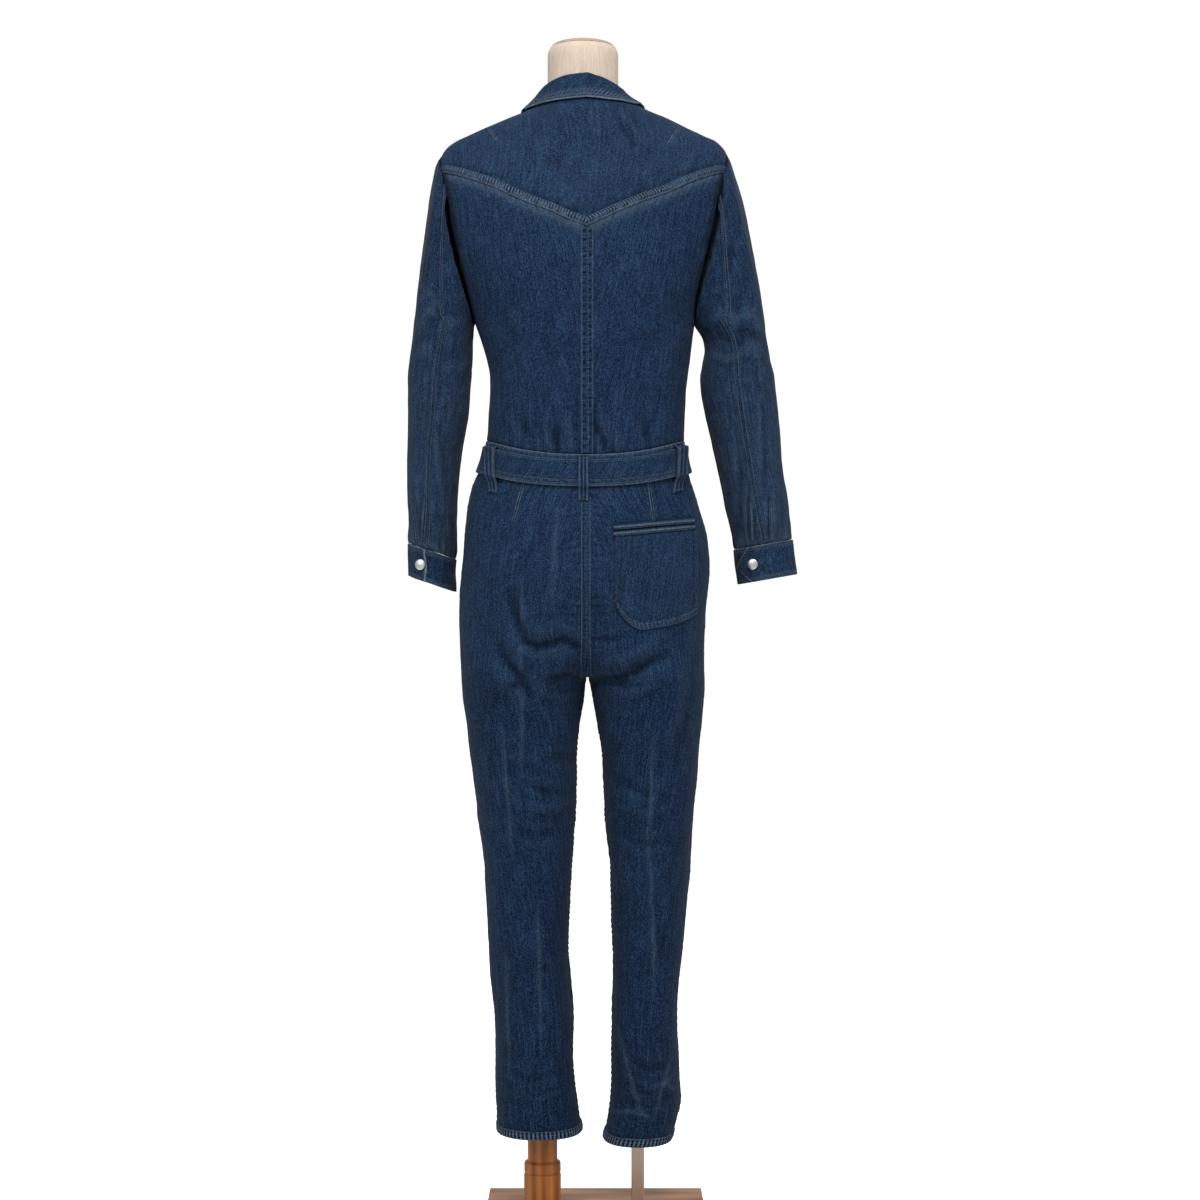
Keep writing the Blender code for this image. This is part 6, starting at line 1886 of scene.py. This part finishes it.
class Hardware:
    """Snaps, buckle, prong, post, bar and plank, shaped with edit tools."""

    @staticmethod
    def start() -> None:
        """Nothing is left selected before a primitive is added."""
        bpy.ops.object.select_all(action="DESELECT")

    @staticmethod
    def finish(name: str, bevel: float, segments: int = 3, angle: float = 35.0) -> Piece:
        """Names the active object, rounds its edges and puts its place in its mesh."""
        obj = bpy.context.active_object
        obj.name = obj.data.name = name
        bpy.ops.object.transform_apply(location=True, rotation=True, scale=True)
        if bevel:
            rounding = obj.modifiers.new("rounding", "BEVEL")
            rounding.width, rounding.segments = bevel * MM, segments
            rounding.limit_method, rounding.angle_limit = "ANGLE", math.radians(30)
            bpy.ops.object.modifier_apply(modifier=rounding.name)
        bpy.ops.object.shade_smooth_by_angle(angle=math.radians(angle))
        recalculate(obj)
        return obj

    def grown(self, name: str, profile: Sequence[tuple[float, float]], place: tuple[float, float], vertices: int,
            bevel: float = 0.0) -> Piece:
        """A turned piece: a thin cylinder whose top face is extruded ring by ring."""
        self.start()
        (radius, low), (_, second) = profile[0], profile[1]
        bpy.ops.mesh.primitive_cylinder_add(vertices=vertices, radius=radius * MM, depth=(second - low) * MM,
            location=(place[0] * MM, place[1] * MM, (low + second) / 2 * MM))
        obj = bpy.context.active_object
        bpy.ops.object.transform_apply(location=True, rotation=False, scale=False)
        bpy.ops.object.mode_set(mode="EDIT")
        bpy.ops.mesh.select_mode(type="FACE")
        work = bmesh.from_edit_mesh(obj.data)
        top = max(v.co.z for v in work.verts)
        for face in work.faces:
            face.select_set(all(abs(v.co.z - top) < 1e-6 for v in face.verts))
        bmesh.update_edit_mesh(obj.data)
        held, level = radius, second
        for radius, height in profile[1:]:
            if height > level:
                bpy.ops.mesh.extrude_region_move(TRANSFORM_OT_translate={"value": (0, 0, (height - level) * MM)})
                level = height
            share, held = radius / held, radius
            if share != 1:
                centre = (place[0] * MM, place[1] * MM, level * MM)
                bpy.ops.transform.resize(value=(share, share, 1), center_override=centre)
        bpy.ops.object.mode_set(mode="OBJECT")
        return self.finish(name, bevel)

    def snap(self) -> Piece:
        """A dished snap cap standing on the floor of its own frame."""
        profile = ((6.6, 0.0), (7.3, 0.7), (7.5, 1.4), (7.2, 2.0), (6.4, 2.4), (5.2, 2.7), (3.8, 2.95), (2.0, 3.12),
            (0.3, 3.2))
        return self.grown("snap_pattern", profile, (0, 0), 48)

    def snaps(self) -> list[tuple[Piece, str]]:
        """The snap copied to every place."""
        pattern = self.snap()
        places = []
        for side in Side:
            level = (CUFF_TOP[side] - SEAM + CUFF_BOTTOM[side]) / 2
            turn = CUFF_SNAP[side]
            facing = Arm.normal(side, level, turn)
            places.append((f"snap_cuff_{side}", facing, Arm.base(side, level, turn)
                + facing * (1.0 + TRIM_WALL + 0.6 + LAP)))
        for number, z in enumerate(linspace(NECK[FRONT] - 30, WAIST + 40, 6), start=1):
            facing = Body.normal(RIGHT, FRONT, z, math.pi / 2)
            at = Body.base(RIGHT, FRONT, z, math.pi / 2) + facing * (STRIP_OFF + TRIM_WALL + LAP)
            places.append((f"snap_front_{number}", facing, at))
        made = []
        for name, facing, at in places:
            turn = Vector(facing.tolist()).to_track_quat("Z", "Y").to_matrix().to_4x4()
            mesh = pattern.data.copy()
            mesh.transform(Matrix.Translation(Vector((at * MM).tolist())) @ turn)
            obj = placed(f"metal_{name}", mesh)
            mesh.name = obj.name
            made.append((obj, name))
        bpy.data.objects.remove(pattern)
        return made

    def buckle(self) -> list[tuple[Piece, str]]:
        """A plain frame with rounded bars, and its prong."""
        low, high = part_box("buckle")
        middle, size = (low + high) / 2, high - low
        self.start()
        bpy.ops.mesh.primitive_plane_add(size=1, location=(middle.x, low.y, middle.z),
            rotation=(math.radians(-90), 0, 0))
        bpy.ops.transform.resize(value=(size.x, 1, size.z), center_override=(middle.x, low.y, middle.z))
        bpy.ops.object.transform_apply(location=True, rotation=True, scale=True)
        bpy.ops.object.mode_set(mode="EDIT")
        bpy.ops.mesh.select_all(action="SELECT")
        bpy.ops.mesh.inset(thickness=5 * MM)
        bpy.ops.mesh.delete(type="FACE")
        bpy.ops.mesh.select_all(action="SELECT")
        bpy.ops.mesh.extrude_region_move(TRANSFORM_OT_translate={"value": (0, size.y, 0)})
        bpy.ops.object.mode_set(mode="OBJECT")
        frame = self.finish("metal_buckle", 1.2, 4)
        return [(frame, "buckle"), self.boxed("metal_prong", "prong", 1.1)]

    def boxed(self, name: str, node: str, bevel: float) -> tuple[Piece, str]:
        """A rounded bar as large as a node's box."""
        low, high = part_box(node)
        self.start()
        bpy.ops.mesh.primitive_cube_add(size=1, location=tuple((low + high) / 2), scale=tuple(high - low))
        return self.finish(name, bevel, 4), node

    def stand(self) -> list[tuple[Piece, str]]:
        """Turned post, flat bar and plank."""
        post = self.grown("wood_post", POST_PROFILE, (POST_AT, 0), 96)
        return [(post, "stand_post"), self.boxed("steel_bar", "stand_bar", 0.9),
            self.boxed("wood_plank", "stand_base", 2.0)]


# ---- assembly


class Studio:
    """Pale floor, soft light from above and a level camera behind the back."""

    CAMERA = (0.01706, -3.0, 0.877)

    def build(self) -> None:
        """Adds camera, floor and lights."""
        scene = bpy.context.scene
        camera = placed("camera", bpy.data.cameras.new("camera"))
        camera.location, camera.rotation_euler = self.CAMERA, (math.radians(90), 0, 0)
        camera.data.sensor_width, camera.data.lens = 36.0, 65.94
        camera.data.shift_y = -0.0025
        camera.data.dof.use_dof = False
        scene.camera = camera
        self.floor()
        for name, place, size, power in (("top", (0.1, -1.7, 3.2), 1.3, 66.0), ("left", (-2.4, -2.2, 2.2), 1.4, 26.0),
                ("right", (2.4, -2.2, 2.0), 1.4, 20.0), ("front", (0.0, 2.6, 2.4), 2.4, 30.0)):
            lamp = bpy.data.lights.new(name, "AREA")
            lamp.size, lamp.energy = size, power
            obj = placed(name, lamp)
            obj.location = place
            aim = Vector((0.0, 0.0, 0.95)) - Vector(place)
            obj.rotation_euler = aim.to_track_quat("-Z", "Y").to_euler()
        world = bpy.data.worlds.new("studio")
        world.use_nodes = True
        make = Nodes(world.node_tree)
        sky = world.node_tree.nodes["Background"].inputs
        make.put(sky["Color"], (1.0, 1.0, 1.0))
        seen = make.add("LightPath").outputs["Is Camera Ray"]
        make.put(sky["Strength"], make.plus(0.42, make.times(seen, 0.63)))
        scene.world = world
        scene.view_settings.view_transform = "Standard"

    def floor(self) -> None:
        """A large pale floor under the plank."""
        bpy.ops.object.select_all(action="DESELECT")
        bpy.ops.mesh.primitive_plane_add(size=24.0, location=(0, 0, -0.0005))
        floor = bpy.context.active_object
        floor.name = "floor"
        material = bpy.data.materials.new("pale_floor")
        material.use_nodes = True
        make = Nodes(material.node_tree)
        seen = make.times(make.add("LightPath").outputs["Is Camera Ray"], 0.75)
        Finishes.set(make, Base_Color=(0.80, 0.80, 0.80), Roughness=0.9, Emission_Color=(1.0, 1.0, 1.0),
            Emission_Strength=seen)
        floor.data.materials.append(material)
        floor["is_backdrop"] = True


class Jumpsuit:
    """Builds every piece and hides the solids that each one replaces."""

    def __init__(self) -> None:
        """Makes the finishes."""
        make = Finishes()
        self.denim = make.denim("denim", (0.0010, 0.0062, 0.0215), (0.0215, 0.057, 0.125), (0.19, 0.265, 0.34))
        self.thread = make.thread("thread", (0.008, 0.018, 0.038), (0.085, 0.12, 0.17))
        self.linen = make.linen("linen", (0.40, 0.315, 0.245), (0.66, 0.55, 0.455))
        # The cap's linen is a darker copy of the torso's: painted shade against the strong light from above.
        self.cap = make.linen("linen_cap", (0.24, 0.17, 0.12), (0.48, 0.37, 0.28))
        self.post = make.grained("post_wood", (0.14, 0.040, 0.004), (0.62, 0.205, 0.024), (1.0, 1.0, 0.06), 0.5, False)
        self.plank = make.grained("plank_wood", (0.13, 0.045, 0.011), (0.50, 0.24, 0.095), (0.06, 1.0, 1.0), 0.6, False)
        self.bar = make.grained("bar_steel", (0.20, 0.15, 0.11), (0.70, 0.60, 0.52), (1.0, 1.0, 0.04), 0.40, True)
        self.snap = make.grained("snap_metal", (0.42, 0.42, 0.41), (0.80, 0.80, 0.79), (1.0, 1.0, 1.0), 0.34, True)
        self.extra: dict[str, list[Piece]] = {}
        self.sewing = Thread("thread_rows")

    def add(self, obj: Piece, material: Material, slot: Slot) -> Piece:
        """Gives a piece its finish and its body."""
        obj.data.materials.append(material)
        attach(obj, BODY_NAME)
        LOG.info("%s: %d faces", obj.name, len(obj.data.polygons))
        return obj

    def panel(self, cloth: Cloth, held: str, rests_on: str, **rows: Sequence[float]) -> None:
        """Args:
            cloth: the panel, named like its node.
            held: how the cloth is held; not used.
            rests_on: the piece that it lies on; not used.
            rows: distances of its rows of stitches from the edge t, b, l or r.
        """
        node, cloth.name = cloth.name, f"denim_{cloth.name}"
        obj = self.add(cloth.shell(), self.denim, Slot.DENIM)
        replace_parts(obj, node)
        base = cloth.base
        across, down = (float(travel(base, axis).max()) * MM for axis in (1, 0))
        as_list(self.extra.get(node, []))
        for edge, distances in rows.items():
            self.sew_grid(cloth, distances, edge)

    def strips(self) -> None:
        """Lays the felled seams and hems, each going with the panel it is sewn on."""
        for strip, node in Seams().strips():
            cloth = strip.cloth()
            obj = self.add(cloth.shell(), self.denim, Slot.DENIM)
            self.extra.setdefault(node, []).append(obj)
            width = float(travel(cloth.base, 1)[:, -1].mean())
            columns = cloth.outer.shape[1]
            for share in (0.14, 0.62 if width > 9 else 0.8):
                column = int(share * (columns - 1))
                self.sewing.row(cloth.outer[:, column], cloth.normal[:, column])

    def sew_grid(self, cloth: Cloth, distances: Sequence[float], edge: str) -> None:
        """Rows of stitches at these distances from an edge of a panel."""
        grid, normal = cloth.outer, cloth.normal
        if edge in "lr":
            grid, normal = grid.transpose(1, 0, 2), normal.transpose(1, 0, 2)
        if edge in "br":
            grid, normal = grid[::-1], normal[::-1]
        travelled = travel(grid, 0).mean(axis=1)
        for distance in distances:
            row = int(np.argmin(np.abs(travelled - distance)))
            self.sewing.row(grid[row, 2:-2], normal[row, 2:-2])

    def dress(self) -> None:
        """Every cloth panel of the garment."""
        form = "linen_torso"
        bodice, sleeves, waist, legs, pockets = Bodice(), Sleeves(), Waist(), Legs(), Pockets()
        for welt in pockets.welts():
            node, welt.name = welt.name, f"denim_{welt.name}"
            obj = self.add(welt.shell(), self.denim, Slot.DENIM)
            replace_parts(obj, node)
            self.extra.setdefault("leg_back_right", []).append(obj)
            self.sew_grid(welt, (1.6,), "b")
        for side in Side:
            self.panel(bodice.back(side), "hung", form)
            self.panel(bodice.front(side), "hung", form)
            for cloth in sleeves.parts(side):
                self.panel(cloth, "hung", f"denim_back_{side}")
            cuff = dict.fromkeys("tbr", (3.2,))
            self.panel(sleeves.cuff(side), "stretched", f"denim_sleeve_{side}_top", **cuff)
            for face in Face:
                self.panel(legs.cloth(side, face), "hung", form)
            self.panel(pockets.side(side), "laid", f"denim_leg_front_{side}", **dict.fromkeys("tblr", (3.0,)))
        self.panel(bodice.yoke(), "laid", form)
        self.panel(Collar().cloth(), "folded", "denim_yoke_back", b=(5.5, 11.0))
        for cloth in waist.waistbands():
            self.panel(cloth, "stretched", form, t=(3.0,), b=(3.0,))
        self.panel(waist.belt(), "stretched", "denim_waistband_back", t=(3.5,), b=(4.2, 8.6))
        for name, share in (("back_centre", 0.4968), ("back_left", 0.328), ("back_right", 0.68), ("front_left", 0.14),
                ("front_right", 0.86)):
            self.panel(waist.loop(f"loop_{name}", share), "stretched", "denim_belt", b=(2.0, 3.2))
        self.panel(pockets.bag(), "laid", "denim_leg_back_right", b=(2.4, 9.0))
        for name, top, bottom in (("placket", NECK[FRONT] - 4, WAIST - DIP[FRONT] + 2),
                ("fly", WAIST - WAISTBAND - DIP[FRONT] - 8, 880.0)):
            self.panel(pockets.down_front(name, top, bottom), "laid", "denim_front_right", l=(4.0,), r=(4.0,))

    def build(self) -> None:
        """Cloth, sewing, form, metal and stand."""
        self.strips()
        self.dress()
        self.add(self.sewing.sew(), self.thread, Slot.DENIM)
        form, metal = Form(), Hardware()
        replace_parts(self.add(form.torso(), self.linen, Slot.LINEN), "form_torso")
        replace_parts(self.add(form.cap(), self.cap, Slot.LINEN), "form_cap")
        self.add(form.seam(), self.linen, Slot.LINEN)
        finishes = {"stand_post": (self.post, Slot.POST), "stand_bar": (self.bar, Slot.BAR),
            "stand_base": (self.plank, Slot.BASE)}
        for obj, node in metal.snaps() + metal.buckle() + metal.stand():
            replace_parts(self.add(obj, *finishes.get(node, (self.snap, Slot.METAL))), node)


def corners(bounds: tuple[Vector, Vector]) -> list[list[float]]:
    """Bounds as plain lists."""
    return [[float(value) for value in corner] for corner in bounds]


def main() -> None:
    """Builds the scene and notes its size before and after."""
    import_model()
    sizes = {"solids": corners(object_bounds())}
    Jumpsuit().build()
    Studio().build()
    sizes["scene"] = corners(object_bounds())
    LOG.info("size %s", sizes)


if __name__ == "__main__":
    main()
